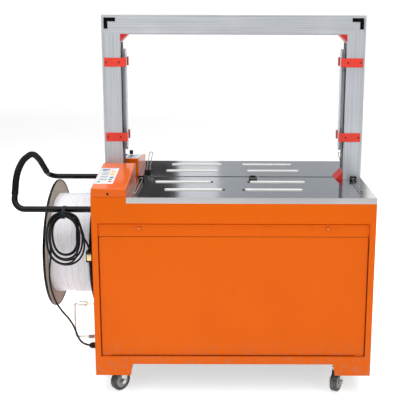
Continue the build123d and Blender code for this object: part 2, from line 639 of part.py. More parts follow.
def cord_tube(label, points):
    """One free stretch of the cord; prints its bends, and its volume against section times length."""
    radii = bend_radii(points)
    path = FilletPolyline(*points, radius=radii)
    tube = sweep((path ^ 0) * Circle(CORD_R), path=path)
    share = tube.volume / (pi * CORD_R ** 2 * path.length)
    print(label, "length", round(path.length), "volume share", round(share, 3))
    print(label, "radii", [round(r) for r in radii])
    return tube


def cord_coil():
    """Outer shape of the hanging hank: a stadium-shaped ring."""
    ring = Rot(90, 0, 0) * Torus(COIL_A, COIL_BUNDLE_R)
    half = COIL_STRAIGHT / 2
    big = COIL_A + 2 * COIL_BUNDLE_R
    upper = Pos(0, 0, half) * (ring & block(-big, big, -big, big, 0, big))
    lower = Pos(0, 0, -half) * (ring & block(-big, big, -big, big, -big, 0))
    coil = upper + lower
    for x in (-COIL_A, COIL_A):
        coil += rod((x, 0, -half), (x, 0, half), COIL_BUNDLE_R)
    return Pos(COIL_X, COIL_Y, COIL_Z) * coil


def gland():
    """Hexagonal gland with the domed nut that grips the cord."""
    wall = -SIDE_X
    hexagon = Plane(origin=(wall, GLAND_Y, GLAND_Z), z_dir=(-1, 0, 0)) * extrude(RegularPolygon(13, 6), 9)
    body = hexagon + rod((wall - 9, GLAND_Y, GLAND_Z), (wall - 24, GLAND_Y, GLAND_Z), 11)
    body += Plane(origin=(wall - 28, GLAND_Y, GLAND_Z), z_dir=(-1, 0, 0)) * Cone(11, 6, 8)
    body += rod((wall, GLAND_Y, GLAND_Z), (wall + 8, GLAND_Y, GLAND_Z), GLAND_THREAD_R)
    return body


def plug():
    """Moulded plug that hangs from the coil, its pins downwards."""
    x, y, z = PLUG
    body = Pos(x, y, z) * Box(25, 30, 38)
    body = fillet(body.edges().filter_by(Axis.Z), 6)
    body += rod((x, y, z + 19), (x, y, z + 25), 6)
    for dy in (-8, 8):
        body += rod((x, y + dy, z - 19), (x, y + dy, z - 36), 2.4)
    return body


def cord():
    write("cable_gland", gland())
    write("power_cord", cord_tube("tail", TAIL), cord_tube("plug lead", PLUG_LEAD))
    write("cord_coil", cord_coil())
    write("power_plug", plug())


def main():
    os.makedirs("parts", exist_ok=True)
    cabinet()
    table()
    arch()
    controls()
    guard()
    reel()
    brake_arm()
    casters()
    machinery()
    cord()


main()
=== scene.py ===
"""Looks of an arch strapping machine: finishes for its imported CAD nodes, and the small pieces that CAD leaves out.

Laid out as a Blender add-on.  Lengths are in metres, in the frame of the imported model: X to the operator's
right, Y towards the back, Z up.
"""
import json
import math
from functools import partial

import bmesh
import bpy
import numpy as np
from bpy.props import FloatProperty, FloatVectorProperty, IntProperty, PointerProperty
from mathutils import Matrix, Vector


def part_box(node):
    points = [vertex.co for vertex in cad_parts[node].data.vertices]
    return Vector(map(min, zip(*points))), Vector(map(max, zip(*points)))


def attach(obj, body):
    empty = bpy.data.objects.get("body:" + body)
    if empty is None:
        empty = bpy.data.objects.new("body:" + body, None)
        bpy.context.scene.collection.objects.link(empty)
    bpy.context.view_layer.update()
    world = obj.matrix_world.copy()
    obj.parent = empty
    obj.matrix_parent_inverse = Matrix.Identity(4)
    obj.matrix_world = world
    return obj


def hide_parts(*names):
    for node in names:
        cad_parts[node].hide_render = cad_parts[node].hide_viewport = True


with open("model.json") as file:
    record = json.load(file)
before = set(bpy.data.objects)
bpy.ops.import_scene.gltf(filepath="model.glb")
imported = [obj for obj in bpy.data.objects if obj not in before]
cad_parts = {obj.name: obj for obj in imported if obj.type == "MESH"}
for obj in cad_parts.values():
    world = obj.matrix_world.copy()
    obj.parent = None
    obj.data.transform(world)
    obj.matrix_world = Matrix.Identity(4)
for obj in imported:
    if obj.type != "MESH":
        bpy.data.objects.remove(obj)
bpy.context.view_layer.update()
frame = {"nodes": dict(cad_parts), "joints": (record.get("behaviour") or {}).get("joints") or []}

bl_info = {
    "name": "Arch strapping machine",
    "version": (1, 0, 0),
    "blender": (4, 5, 0),
    "location": "3D View > Sidebar > Strapping",
    "description": "Finishes and small pieces of an arch strapping machine",
    "category": "Object",
}

MM = 0.001
NODES = frame["nodes"]
POINTS_PER_CORNER = 6


# ---------------------------------------------------------------- settings
class StrappingSizes(bpy.types.PropertyGroup):
    """Sizes that a user would change."""

    cord_diameter: FloatProperty(name="Cord diameter", description="Jacket diameter of the power cord",
                                 default=7 * MM, unit="LENGTH")
    coil_turns: FloatProperty(name="Coil turns", description="Turns of cord in the hank that hangs from the guard",
                              default=6.4)
    strap_width: FloatProperty(name="Strap width", description="Width of the plastic strap on the reel",
                               default=12.4 * MM, unit="LENGTH")
    screw_radius: FloatProperty(name="Screw head", description="Radius of the cabinet's screw heads",
                                default=4.5 * MM, unit="LENGTH")
    rim_thickness: FloatProperty(name="Flange rim", description="Width of the rolled rim of a reel flange",
                                 default=9.5 * MM, unit="LENGTH")
    round_segments: IntProperty(name="Segments", description="Points round a small turned piece", default=32, min=8)


class StrappingColours(bpy.types.PropertyGroup):
    """Base colours, linear RGB."""

    paint: FloatVectorProperty(name="Cabinet paint", description="Powder coat of the cabinet and hoods",
                               subtype="COLOR", default=(0.70, 0.112, 0.0002))
    steel: FloatVectorProperty(name="Table steel", description="Brushed stainless steel of the table",
                               subtype="COLOR", default=(0.60, 0.60, 0.61))
    aluminium: FloatVectorProperty(name="Arch aluminium", description="Anodised profile of the arch",
                                   subtype="COLOR", default=(0.66, 0.69, 0.73))
    clip: FloatVectorProperty(name="Gate clips", description="Moulded clips on the posts",
                              subtype="COLOR", default=(0.78, 0.05, 0.03))
    guide: FloatVectorProperty(name="Corner guides", description="Moulded corner guides of the strap track",
                               subtype="COLOR", default=(0.55, 0.02, 0.015))
    strap: FloatVectorProperty(name="Strap", description="Polypropylene strap on the reel",
                               subtype="COLOR", default=(0.80, 0.81, 0.86))
    board: FloatVectorProperty(name="Reel board", description="Pressed board of the reel's outer flange and drum",
                               subtype="COLOR", default=(0.43, 0.41, 0.345))


def sizes():
    return bpy.context.scene.strapping_sizes


def colours():
    return bpy.context.scene.strapping_colours


# ---------------------------------------------------------------- surfaces
def grid_faces(rows, cols, close_rows, close_cols):
    """Quads of a rows by cols grid of points, joined round where it closes."""
    r = np.arange(rows if close_rows else rows - 1)
    c = np.arange(cols if close_cols else cols - 1)
    i, j = np.meshgrid(r, c, indexing="ij")
    i2, j2 = (i + 1) % rows, (j + 1) % cols
    return np.stack([i * cols + j, i * cols + j2, i2 * cols + j2, i2 * cols + j], axis=-1).reshape(-1, 4)


def build(name, grids, body, look, sharp=35):
    """One object from grids of points, each (points[..., rows, cols, 3], rows close, cols close).

    Leading axes of a grid are copies of the same surface.  Seams and poles are merged, and normals face out.
    """
    points, faces, start = [], [], 0
    for grid, close_rows, close_cols in grids:
        rows, cols = grid.shape[-3:-1]
        copies = grid.reshape(-1, rows * cols, 3)
        quads = grid_faces(rows, cols, close_rows, close_cols)
        offsets = start + np.arange(len(copies)) * rows * cols
        faces.append((quads[None] + offsets[:, None, None]).reshape(-1, 4))
        points.append(copies.reshape(-1, 3))
        start += len(copies) * rows * cols
    mesh = bpy.data.meshes.new(name)
    mesh.from_pydata(np.concatenate(points).tolist(), [], np.concatenate(faces).tolist())
    shape = bmesh.new()
    shape.from_mesh(mesh)
    bmesh.ops.remove_doubles(shape, verts=shape.verts, dist=2e-6)
    bmesh.ops.dissolve_degenerate(shape, edges=shape.edges, dist=1e-7)
    bmesh.ops.recalc_face_normals(shape, faces=shape.faces)
    shape.to_mesh(mesh)
    shape.free()
    mesh.shade_smooth()
    mesh.set_sharp_from_angle(angle=math.radians(sharp))
    piece = bpy.data.objects.new(name, mesh)
    bpy.context.scene.collection.objects.link(piece)
    mesh.materials.append(finish(look))
    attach(piece, body)
    return piece


def cross_axes(axis):
    """Two unit vectors square to an axis and to each other."""
    axis = np.asarray(axis, float) / np.linalg.norm(axis)
    helper = np.array([0.0, 0.0, 1.0]) if abs(axis[2]) < 0.9 else np.array([1.0, 0.0, 0.0])
    first = np.cross(helper, axis)
    first /= np.linalg.norm(first)
    return first, np.cross(axis, first), axis


def turned(profile, centres, axis, segments=None):
    """Surface of revolution: centre + r (cos a first + sin a second) + h axis, for each (r, h) of the profile."""
    profile = np.asarray(profile, float)
    centres = np.atleast_2d(np.asarray(centres, float))
    first, second, along = cross_axes(axis)
    a = np.linspace(0, 2 * np.pi, segments or sizes().round_segments, endpoint=False)
    ring = np.cos(a)[:, None] * first + np.sin(a)[:, None] * second
    shape = profile[:, 0, None, None] * ring + profile[:, 1, None, None] * along
    return centres[:, None, None, :] + shape, False, True


def piped(path, radius, segments=12, up=(0, 0, 1), closed=False):
    """Tube about a path: path + radius (cos a side + sin a top), with side = tangent x up."""
    path = np.asarray(path, float)
    if closed:
        tangent = np.roll(path, -1, 0) - np.roll(path, 1, 0)
    else:
        tangent = np.gradient(path, axis=0)
    tangent /= np.linalg.norm(tangent, axis=1, keepdims=True)
    side = np.cross(tangent, np.asarray(up, float))
    side /= np.linalg.norm(side, axis=1, keepdims=True)
    top = np.cross(side, tangent)
    a = np.linspace(0, 2 * np.pi, segments, endpoint=False)
    radius = np.broadcast_to(np.asarray(radius, float), (len(path),))[:, None, None]
    ring = np.cos(a)[None, :, None] * side[:, None] + np.sin(a)[None, :, None] * top[:, None]
    tube = path[:, None] + radius * ring
    if not closed:
        tube = np.concatenate([path[:1, None].repeat(segments, 1), tube, path[-1:, None].repeat(segments, 1)])
    return tube, closed, True


def rounded_outline(half_u, half_v, corner):
    """Rounded rectangle: four quarter circles of radius `corner` about the inner corners."""
    a = np.linspace(0, np.pi / 2, POINTS_PER_CORNER)
    quarters = a[None] + np.arange(4)[:, None] * np.pi / 2
    signs = np.array([[1, 1], [-1, 1], [-1, -1], [1, -1]], float)
    middle = signs * np.array([half_u - corner, half_v - corner])
    outline = middle[:, None] + corner * np.stack([np.cos(quarters), np.sin(quarters)], -1)
    return outline.reshape(-1, 2)


def plate(centres, u_axis, v_axis, half_u, half_v, corner, thickness, bevel):
    """Rounded plate: its outline drawn at the foot, under the bevel, on the bevel and shrunk to its middle line."""
    u_axis, v_axis = np.asarray(u_axis, float), np.asarray(v_axis, float)
    normal = np.cross(u_axis, v_axis)
    corner = max(corner, bevel * 1.01)
    small = min(half_u, half_v) * 0.999
    rows = []
    for inset, height in ((small, 0), (0, 0), (0, thickness - bevel), (bevel * 0.3, thickness - bevel * 0.3),
                          (bevel, thickness), (small, thickness)):
        flat = rounded_outline(half_u - inset, half_v - inset, max(corner - inset, 1e-6))
        rows.append(flat[:, :1] * u_axis + flat[:, 1:] * v_axis + height * normal)
    centres = np.atleast_2d(np.asarray(centres, float))
    return centres[:, None, None, :] + np.stack(rows), False, True


def screw_profile(radius, height):
    """Domed head from its rim to the middle, with a shallow driver recess."""
    shares = [(1, 0), (1, 0.45), (0.86, 0.8), (0.6, 1), (0.38, 1), (0.3, 0.45), (0, 0.45)]
    return [(radius * r, height * h) for r, h in shares]


# ---------------------------------------------------------------- finishes
NOISE_ROUGHNESS = 0.55
MOULDED_EDGE = 0.7 * MM


class Wire:
    """A node socket in an expression: + - * / and their reflected forms add Math nodes."""

    def __init__(self, finish, socket):
        self.finish = finish
        self.socket = socket

    def _math(self, operation, *values):
        return self.finish.node("ShaderNodeMath", {"operation": operation}, dict(enumerate(values)))

    def __add__(self, other):
        return self._math("ADD", self, other)

    def __sub__(self, other):
        return self._math("SUBTRACT", self, other)

    def __rsub__(self, other):
        return self._math("SUBTRACT", other, self)

    def __mul__(self, other):
        return self._math("MULTIPLY", self, other)

    def __truediv__(self, other):
        return self._math("DIVIDE", self, other)

    def __rtruediv__(self, other):
        return self._math("DIVIDE", other, self)

    __radd__ = __add__
    __rmul__ = __mul__

    def frac(self):
        return self._math("FRACT", self)

    def absolute(self):
        return self._math("ABSOLUTE", self)

    def angle_with(self, other):
        return self._math("ARCTAN2", self, other)

    def clipped(self, low, high):
        """0 below low, 1 above high, straight between."""
        settings = {"clamp": True, "interpolation_type": "SMOOTHSTEP"}
        values = {"Value": self, "From Min": low, "From Max": high, "To Min": 0.0, "To Max": 1.0}
        return self.finish.node("ShaderNodeMapRange", settings, values)


class Finish:
    """A procedural material: one Principled shader, fed by patterns on Object coordinates."""

    def __init__(self, name, **constants):
        self.material = bpy.data.materials.new(name)
        self.material.use_nodes = True
        self.tree = self.material.node_tree
        self.tree.nodes.clear()
        self.shader = self.tree.nodes.new("ShaderNodeBsdfPrincipled")
        output = self.tree.nodes.new("ShaderNodeOutputMaterial")
        self.tree.links.new(self.shader.outputs[0], output.inputs["Surface"])
        self.place = self.node("ShaderNodeTexCoord", {}, {}, "Object")
        for socket, value in constants.items():
            self.feed(socket.replace("_", " ").title().replace("Ior", "IOR"), value)

    def node(self, kind, settings, values, output=0):
        """Add a node: its settings first, then the values or links of its sockets; gives one output."""
        made = self.tree.nodes.new(kind)
        for key, value in settings.items():
            setattr(made, key, value)
        for key, value in values.items():
            self.join(made.inputs[key], value)
        return Wire(self, made.outputs[output])

    def join(self, socket, value):
        if isinstance(value, Wire):
            self.tree.links.new(value.socket, socket)
        elif socket.type == "RGBA" and len(value) == 3:
            socket.default_value = (*value, 1)
        else:
            socket.default_value = value

    def feed(self, socket, value):
        self.join(self.shader.inputs[socket], value)
        return self

    def stretched(self, scale):
        return self.node("ShaderNodeVectorMath", {"operation": "MULTIPLY"}, {0: self.place, 1: scale})

    def noise(self, scale, detail=3.0, stretch=(1, 1, 1)):
        vector = self.stretched(stretch) if stretch != (1, 1, 1) else self.place
        values = {"Vector": vector, "Scale": scale, "Detail": detail, "Roughness": NOISE_ROUGHNESS}
        return self.node("ShaderNodeTexNoise", {}, values, "Fac")

    def axes(self):
        """The x, y and z of Object coordinates."""
        split = self.tree.nodes.new("ShaderNodeSeparateXYZ")
        self.tree.links.new(self.place.socket, split.inputs[0])
        return [Wire(self, out) for out in split.outputs]

    def mix(self, first, second, factor):
        values = {0: factor, 6: first, 7: second}
        return self.node("ShaderNodeMix", {"data_type": "RGBA"}, values, 2)

    def relief(self, height, strength, distance, edge=0.0):
        """Bump from a height; `edge` rounds sharp edges by that radius."""
        values = {"Height": height, "Strength": strength, "Distance": distance}
        if edge:
            values["Normal"] = self.node("ShaderNodeBevel", {"samples": 3}, {"Radius": edge}, "Normal")
        return self.feed("Normal", self.node("ShaderNodeBump", {}, values, "Normal"))


def powder_coat(name, colour, roughness=0.24, floor_dust=True, coat=0.03):
    """Glossy powder coat: orange-peel relief, slight patches, faint scuffs, and dust near the floor."""
    f = Finish(name, coat_weight=coat, coat_roughness=0.12, specular_ior_level=0.08)
    patches = f.noise(2.6, 2)
    peel = f.noise(900, 1)
    scuff = f.noise(26, 6, (1, 1, 3)).clipped(0.64, 0.74)
    dark = tuple(0.84 * c for c in colour)
    pale = tuple(0.95 * c + 0.008 for c in colour)
    base = f.mix(colour, dark, patches.clipped(0.35, 0.8) * 0.4)
    base = f.mix(base, pale, scuff * 0.2)
    if floor_dust:
        low = 1 - f.axes()[2].clipped(0.09, 0.26)
        base = f.mix(base, (0.30, 0.20, 0.13), low * f.noise(60, 5).clipped(0.4, 0.75) * 0.4)
    f.feed("Base Color", base)
    f.feed("Roughness", scuff * 0.18 + patches * 0.08 + roughness)
    f.relief(peel + scuff * -0.4, 0.10, 0.25 * MM, edge=1.1 * MM)
    return f.material


def brushed_steel(name, colour):
    """Stainless sheet brushed along X: long fine lines, smudges, a few cross scratches, and painted reflection bands.
    """
    f = Finish(name, metallic=1.0)
    lines = f.noise(1.0, 4, (6, 900, 900))
    broad = f.noise(1.0, 3, (2, 120, 120))
    smudge = f.noise(3.0, 3).clipped(0.45, 0.75)
    scratch = f.noise(1.0, 2, (420, 9, 60)).clipped(0.70, 0.73)
    base = f.mix(colour, tuple(0.80 * c for c in colour), lines * 0.5 + broad * 0.3)
    # Painted reflection: broad darker bands across X, on the top and the rim alike, stand in for the surroundings
    # mirrored in the steel; the smudges darken with the same tone.
    painted_reflection_bands = f.noise(1.0, 2, (4.2, 0.4, 0.4)).clipped(0.42, 0.62)
    base = f.mix(base, tuple(0.72 * c for c in colour), painted_reflection_bands * 0.5 + smudge * 0.1)
    f.feed("Base Color", f.mix(base, (0.8, 0.8, 0.8), scratch * 0.25))
    f.feed("Roughness", lines * 0.08 + smudge * 0.05 + 0.08)
    f.relief(lines + broad * 0.5, 0.08, 0.06 * MM, edge=0.8 * MM)
    return f.material


def anodised(name, colour, along):
    """Satin anodised extrusion: drawing lines along its length, faint strap rub and handling marks."""
    f = Finish(name, metallic=0.55)
    stretch = tuple(3 if i == along else 260 for i in range(3))
    lines = f.noise(1.0, 3, stretch)
    rub = f.noise(9, 4).clipped(0.5, 0.8)
    base = f.mix(colour, tuple(0.70 * c for c in colour), lines.clipped(0.3, 0.7) * 0.7)
    f.feed("Base Color", f.mix(base, (0.50, 0.51, 0.53), rub * 0.2))
    f.feed("Roughness", lines * 0.10 + rub * 0.12 + 0.34)
    f.relief(lines, 0.12, 0.06 * MM, edge=0.9 * MM)
    return f.material


def moulded(name, colour, roughness=0.45, grain=1400, wear=(0.0, 0.0, 0.0), specular=0.35):
    """Moulded plastic: fine spark-eroded grain, flow patches and paler rubbed places."""
    f = Finish(name, specular_ior_level=specular)
    patches = f.noise(7, 3)
    rub = f.noise(34, 5).clipped(0.58, 0.78)
    base = f.mix(colour, tuple(0.80 * c for c in colour), patches * 0.6)
    pale = tuple(min(1.0, c * 1.25 + w + 0.02) for c, w in zip(colour, wear))
    f.feed("Base Color", f.mix(base, pale, rub * 0.4))
    f.feed("Roughness", patches * 0.10 + rub * 0.12 + roughness)
    f.relief(f.noise(grain, 2), 0.16, 0.12 * MM, edge=MOULDED_EDGE)
    return f.material


def bright_zinc(name, colour=(0.62, 0.62, 0.60)):
    """Bright zinc plate: cloudy, with a trace of yellow passivation and dulled spots."""
    f = Finish(name, metallic=1.0)
    cloud = f.noise(38, 4)
    dull = f.noise(130, 3).clipped(0.55, 0.75)
    base = f.mix(colour, (0.60, 0.57, 0.47), cloud.clipped(0.4, 0.75) * 0.5)
    f.feed("Base Color", f.mix(base, (0.36, 0.35, 0.33), dull * 0.4))
    f.feed("Roughness", cloud * 0.15 + dull * 0.2 + 0.22)
    f.relief(cloud, 0.08, 0.1 * MM)
    return f.material


def gloss_black(name):
    """Black stove enamel on tube and sheet, with dust specks and hairline scratches."""
    f = Finish(name, coat_weight=0.06, coat_roughness=0.05, specular_ior_level=0.12)
    dust = f.noise(210, 4).clipped(0.62, 0.75)
    hair = f.noise(1.0, 2, (30, 500, 200)).clipped(0.68, 0.72)
    f.feed("Base Color", f.mix((0.003, 0.003, 0.004), (0.06, 0.057, 0.054), dust * 0.1 + hair * 0.1))
    f.feed("Roughness", dust * 0.25 + hair * 0.15 + 0.16)
    f.relief(f.noise(500, 2), 0.05, 0.1 * MM)
    return f.material


def foam_grip(name):
    """Closed-cell foam sleeve: open pores and a soft, dusty nap."""
    f = Finish(name, specular_ior_level=0.1)
    cells = f.node("ShaderNodeTexVoronoi", {"feature": "F1"}, {"Vector": f.place, "Scale": 900.0}, "Distance")
    patches = f.noise(22, 4)
    f.feed("Base Color", f.mix((0.005, 0.005, 0.006), (0.016, 0.015, 0.015), patches.clipped(0.45, 0.8)))
    f.feed("Roughness", patches * 0.15 + 0.72)
    f.relief(cells + patches * 0.4, 0.35, 0.5 * MM)
    return f.material


def wheel_rubber(name, colour):
    """Caster tread or tyre: matt, with floor dust in patches."""
    f = Finish(name)
    dust = f.noise(70, 5).clipped(0.42, 0.7)
    f.feed("Base Color", f.mix(colour, (0.26, 0.24, 0.21), dust * 0.45))
    f.feed("Roughness", dust * 0.2 + 0.55)
    f.relief(f.noise(420, 3), 0.25, 0.3 * MM)
    return f.material


def cord_jacket(name):
    """Flexible PVC jacket: satin black with fine grain and dust."""
    f = Finish(name, specular_ior_level=0.2)
    dust = f.noise(160, 4).clipped(0.5, 0.8)
    f.feed("Base Color", f.mix((0.004, 0.004, 0.005), (0.04, 0.038, 0.036), dust * 0.2))
    f.feed("Roughness", dust * 0.2 + 0.34)
    f.relief(f.noise(900, 2), 0.12, 0.12 * MM)
    return f.material


def wound_strap(name, colour):
    """Embossed polypropylene strap: a fine diamond relief, satin, with faint joints between laps."""
    f = Finish(name, coat_weight=0.15, coat_roughness=0.25)
    x, y, z = f.axes()
    low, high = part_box("strap_roll")
    middle_y, middle_z = (low[1] + high[1]) / 2, (low[2] + high[2]) / 2
    angle = (y - middle_y).angle_with(z - middle_z)
    lap = ((x / sizes().strap_width + angle / (2 * math.pi)).frac() - 0.5).absolute()
    emboss = ((x / (1.5 * MM)).frac() - 0.5).absolute() + ((angle * 420 / math.pi).frac() - 0.5).absolute()
    joint = lap.clipped(0.42, 0.5)
    tone = f.noise(14, 4, (9, 1, 1))
    base = f.mix(colour, tuple(0.84 * c for c in colour), tone.clipped(0.35, 0.75) * 0.7)
    f.feed("Base Color", f.mix(base, (0.46, 0.46, 0.49), joint * 0.3))
    f.feed("Roughness", tone * 0.15 + 0.30)
    f.relief(emboss * 0.5 - joint, 0.25, 0.2 * MM)
    return f.material


def pressed_board(name, colour):
    """Grey-brown pressed board: flecks, fibre patches and a worn, paler face."""
    f = Finish(name)
    fleck = f.node("ShaderNodeTexVoronoi", {"feature": "F1"}, {"Vector": f.place, "Scale": 420.0}, "Distance")
    fibre = f.noise(60, 6)
    base = f.mix(colour, tuple(0.62 * c for c in colour), fibre.clipped(0.35, 0.7) * 0.6)
    f.feed("Base Color", f.mix(base, tuple(1.35 * c for c in colour), fleck.clipped(0.0, 0.4) * 0.3))
    f.feed("Roughness", fibre * 0.2 + 0.58)
    f.relief(fleck + fibre, 0.2, 0.25 * MM)
    return f.material


def enamel(name, colour):
    """Machine enamel on castings and inner steelwork, a little oily."""
    f = Finish(name, coat_weight=0.2)
    cast = f.noise(160, 5)
    oil = f.noise(12, 4).clipped(0.5, 0.75)
    f.feed("Base Color", f.mix(colour, tuple(0.6 * c for c in colour), oil * 0.6 + cast * 0.2))
    f.feed("Roughness", cast * 0.2 + 0.38 - oil * 0.15)
    f.relief(cast, 0.2, 0.3 * MM, edge=1.0 * MM)
    return f.material


def printed(name, colour):
    """Printed film on a control plate: even colour under a lightly rubbed laminate."""
    f = Finish(name, coat_weight=0.3, coat_roughness=0.15)
    rub = f.noise(60, 4).clipped(0.5, 0.8)
    f.feed("Base Color", f.mix(colour, tuple(0.85 * c + 0.03 for c in colour), rub * 0.5))
    f.feed("Roughness", rub * 0.15 + 0.35)
    f.relief(f.noise(500, 2), 0.04, 0.1 * MM)
    return f.material


def studio_floor(name):
    """Lit white studio floor with the faintest tone, a little dimmer behind the camera."""
    f = Finish(name, roughness=0.75, specular_ior_level=0.2, emission_strength=0.6)
    tone = f.noise(1.1, 3)
    _, y, _ = f.axes()
    lit = y.clipped(-4.2, -2.2)
    f.feed("Emission Color", f.mix((0.15, 0.15, 0.15), (1.0, 1.0, 1.0), lit))
    f.feed("Base Color", f.mix((0.40, 0.40, 0.40), f.mix((0.90, 0.90, 0.90), (0.88, 0.88, 0.88), tone), lit))
    return f.material


def glowing(name, colour, strength):
    """A lit studio panel."""
    return Finish(name, base_color=(0, 0, 0), emission_color=colour, emission_strength=strength).material


MADE = {}


def finish(name):
    """The named finish, made once from the panel's colours."""
    c = colours()
    makers = {
        "cabinet_paint": partial(powder_coat, colour=tuple(c.paint)),
        "hood_paint": partial(powder_coat, colour=tuple(c.paint), roughness=0.28, floor_dust=False, coat=0.5),
        "table_steel": partial(brushed_steel, colour=tuple(c.steel)),
        "arch_post_metal": partial(anodised, colour=tuple(c.aluminium), along=2),
        "arch_beam_metal": partial(anodised, colour=tuple(c.aluminium), along=0),
        "clip_plastic": partial(moulded, colour=tuple(c.clip), roughness=0.36, wear=(0.05, 0.03, 0.03)),
        "guide_plastic": partial(moulded, colour=tuple(c.guide), roughness=0.32, wear=(0.05, 0.02, 0.02)),
        "black_plastic": partial(moulded, colour=(0.006, 0.006, 0.007), roughness=0.42, specular=0.18),
        "white_plastic": partial(moulded, colour=(0.82, 0.82, 0.81), roughness=0.34, grain=600),
        "grey_plastic": partial(moulded, colour=(0.26, 0.27, 0.28), roughness=0.4),
        "bright_zinc": bright_zinc,
        "dull_wire": partial(bright_zinc, colour=(0.3, 0.3, 0.3)),
        "pin_brass": partial(bright_zinc, colour=(0.72, 0.52, 0.2)),
        "black_enamel": gloss_black,
        "foam": foam_grip,
        "tread": partial(wheel_rubber, colour=(0.035, 0.035, 0.037)),
        "jacket": cord_jacket,
        "strap_on_reel": partial(wound_strap, colour=tuple(c.strap)),
        "board": partial(pressed_board, colour=tuple(c.board)),
        "machine_enamel": partial(enamel, colour=(0.1, 0.13, 0.17)),
        "box_enamel": partial(powder_coat, colour=(0.5, 0.51, 0.52), roughness=0.4, floor_dust=False),
        "label_white": partial(printed, colour=(0.74, 0.76, 0.78)),
        "label_blue": partial(printed, colour=(0.04, 0.16, 0.42)),
        "label_red": partial(printed, colour=(0.62, 0.03, 0.02)),
        "label_yellow": partial(printed, colour=(0.8, 0.48, 0.02)),
        "label_green": partial(printed, colour=(0.03, 0.36, 0.1)),
        "label_grey": partial(printed, colour=(0.3, 0.33, 0.36)),
        "panel_pale": partial(printed, colour=(0.62, 0.7, 0.78)),
    }
    if name not in MADE:
        MADE[name] = makers[name](name)
    return MADE[name]


def dress(finish_name, *nodes):
    """Give CAD nodes a finish."""
    for node in nodes:
        materials = NODES[node].data.materials
        materials.clear()
        materials.append(finish(finish_name))


def corners(node):
    """Lowest and highest corner of a CAD node at rest, as arrays."""
    low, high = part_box(node)
    return np.array(low, float), np.array(high, float)


# ---------------------------------------------------------------- camera, floor and light
LENS = 64.7
CAMERA_PLACE = (0.1156, -2.7473, 1.3874)
CAMERA_DOWN = math.radians(10.77)
CAMERA_SHIFT = (-0.0625, -0.125)


class STRAPPING_OT_stage(bpy.types.Operator):
    """Camera at the operator's side, pale floor, and soft studio light"""

    bl_idname = "strapping.stage"
    bl_label = "Camera, floor and light"

    def execute(self, context):
        scene = context.scene
        scene.view_settings.view_transform = "Standard"
        lens = bpy.data.cameras.new("camera")
        lens.lens = LENS
        lens.sensor_width = 36
        lens.shift_x, lens.shift_y = CAMERA_SHIFT
        camera = bpy.data.objects.new("camera", lens)
        camera.location = CAMERA_PLACE
        camera.rotation_euler = (math.pi / 2 - CAMERA_DOWN, -0.003, 0)
        scene.collection.objects.link(camera)
        scene.camera = camera
        self.floor(scene)
        self.lights(scene)
        return {"FINISHED"}

    def floor(self, scene):
        """Floor, the white wall behind, and the curtain and strips above it that only the table mirrors."""
        panels = {
            "floor": ((-60, -60, 0), (120, 0, 0), (0, 120, 0), studio_floor("studio_floor")),
            "back_wall": ((-16, 9.1, 0), (32, 0, 0), (0, 0, 1.68), glowing("white_wall", (1.0, 1.0, 1.0), 1.0)),
            "dark_curtain": ((-6, 9, 1.75), (5.34, 0, 0), (0, 0, 2.6), glowing("curtain", (0.5, 0.5, 0.55), 0.05)),
            "strip_left": ((-0.66, 9, 1.75), (0.68, 0, 0), (0, 0, 2), glowing("strip_glow", (0.92, 0.96, 1), 0.95)),
            "strip_middle": ((0.04, 9, 1.75), (2.2, 0, 0), (0, 0, 2), glowing("soft_glow", (0.88, 0.94, 1), 0.52)),
            "strip_right": ((2.5, 9, 1.75), (6.0, 0, 0), (0, 0, 2.4), glowing("side_glow", (1, 1, 1), 1.3)),
            "strip_high": ((-3.6, 9, 4.5), (2.8, 0, 0), (0, 0, 2.2), glowing("high_glow", (1, 1, 1), 1.6)),
        }
        for name, (corner, u, v, look) in panels.items():
            steps = np.linspace(0, 1, 3)
            a, b = np.meshgrid(steps, steps, indexing="ij")
            grid = np.array(corner) + a[..., None] * np.array(u) + b[..., None] * np.array(v)
            mesh = bpy.data.meshes.new(name)
            mesh.from_pydata(grid.reshape(-1, 3).tolist(), [], grid_faces(3, 3, False, False)[:, ::-1].tolist())
            mesh.materials.append(look)
            panel = bpy.data.objects.new(name, mesh)
            scene.collection.objects.link(panel)

    def lights(self, scene):
        lamps = {
            "key": ((-1.3, -3.4, 3.3), (52, 0, -20), 2.2, 52),
            "fill": ((2.9, -3.0, 2.4), (62, 0, 44), 2.2, 27),
            "top": ((0.2, -0.4, 3.8), (0, 0, 0), 4.4, 150),
            "rim": ((-2.6, 2.4, 2.4), (-58, 0, 42), 1.6, 26),
        }
        for name, (place, turn, size, watts) in lamps.items():
            light = bpy.data.lights.new(name, "AREA")
            light.size = size
            light.energy = watts
            lamp = bpy.data.objects.new(name, light)
            lamp.location = place
            lamp.rotation_euler = [math.radians(a) for a in turn]
            scene.collection.objects.link(lamp)
        world = bpy.data.worlds.new("studio")
        world.use_nodes = True
        world.node_tree.nodes["Background"].inputs["Color"].default_value = (1.0, 1.0, 1.0, 1)
        world.node_tree.nodes["Background"].inputs["Strength"].default_value = 0.22
        scene.world = world


# ---------------------------------------------------------------- power cord
# Route of the cord, point by point from the gland: first the tail, last the lead to the plug.
TAIL = [(-383.5, -260, 175), (-406.5, -260, 180), (-423.5, -264, 205), (-432.5, -267, 241),
        (-448.5, -269, 277), (-475.5, -273, 312), (-497.5, -277, 350), (-510.5, -281, 396),
        (-515.5, -284, 440), (-513.5, -286, 484), (-506.5, -288, 524), (-505.5, -289, 566)]
PLUG_LEAD = [(-393.5, -298, 640), (-391.0, -296, 612), (-375.5, -292, 586), (-365.5, -292, 559.4)]
COIL_MIDDLE = (-451.5, -288.5, 600.0)
COIL_HALF_WIDTH = 57.0
COIL_LIFT = 30.0
STRAND_PITCH = 7.3
POINTS_PER_TURN = 16


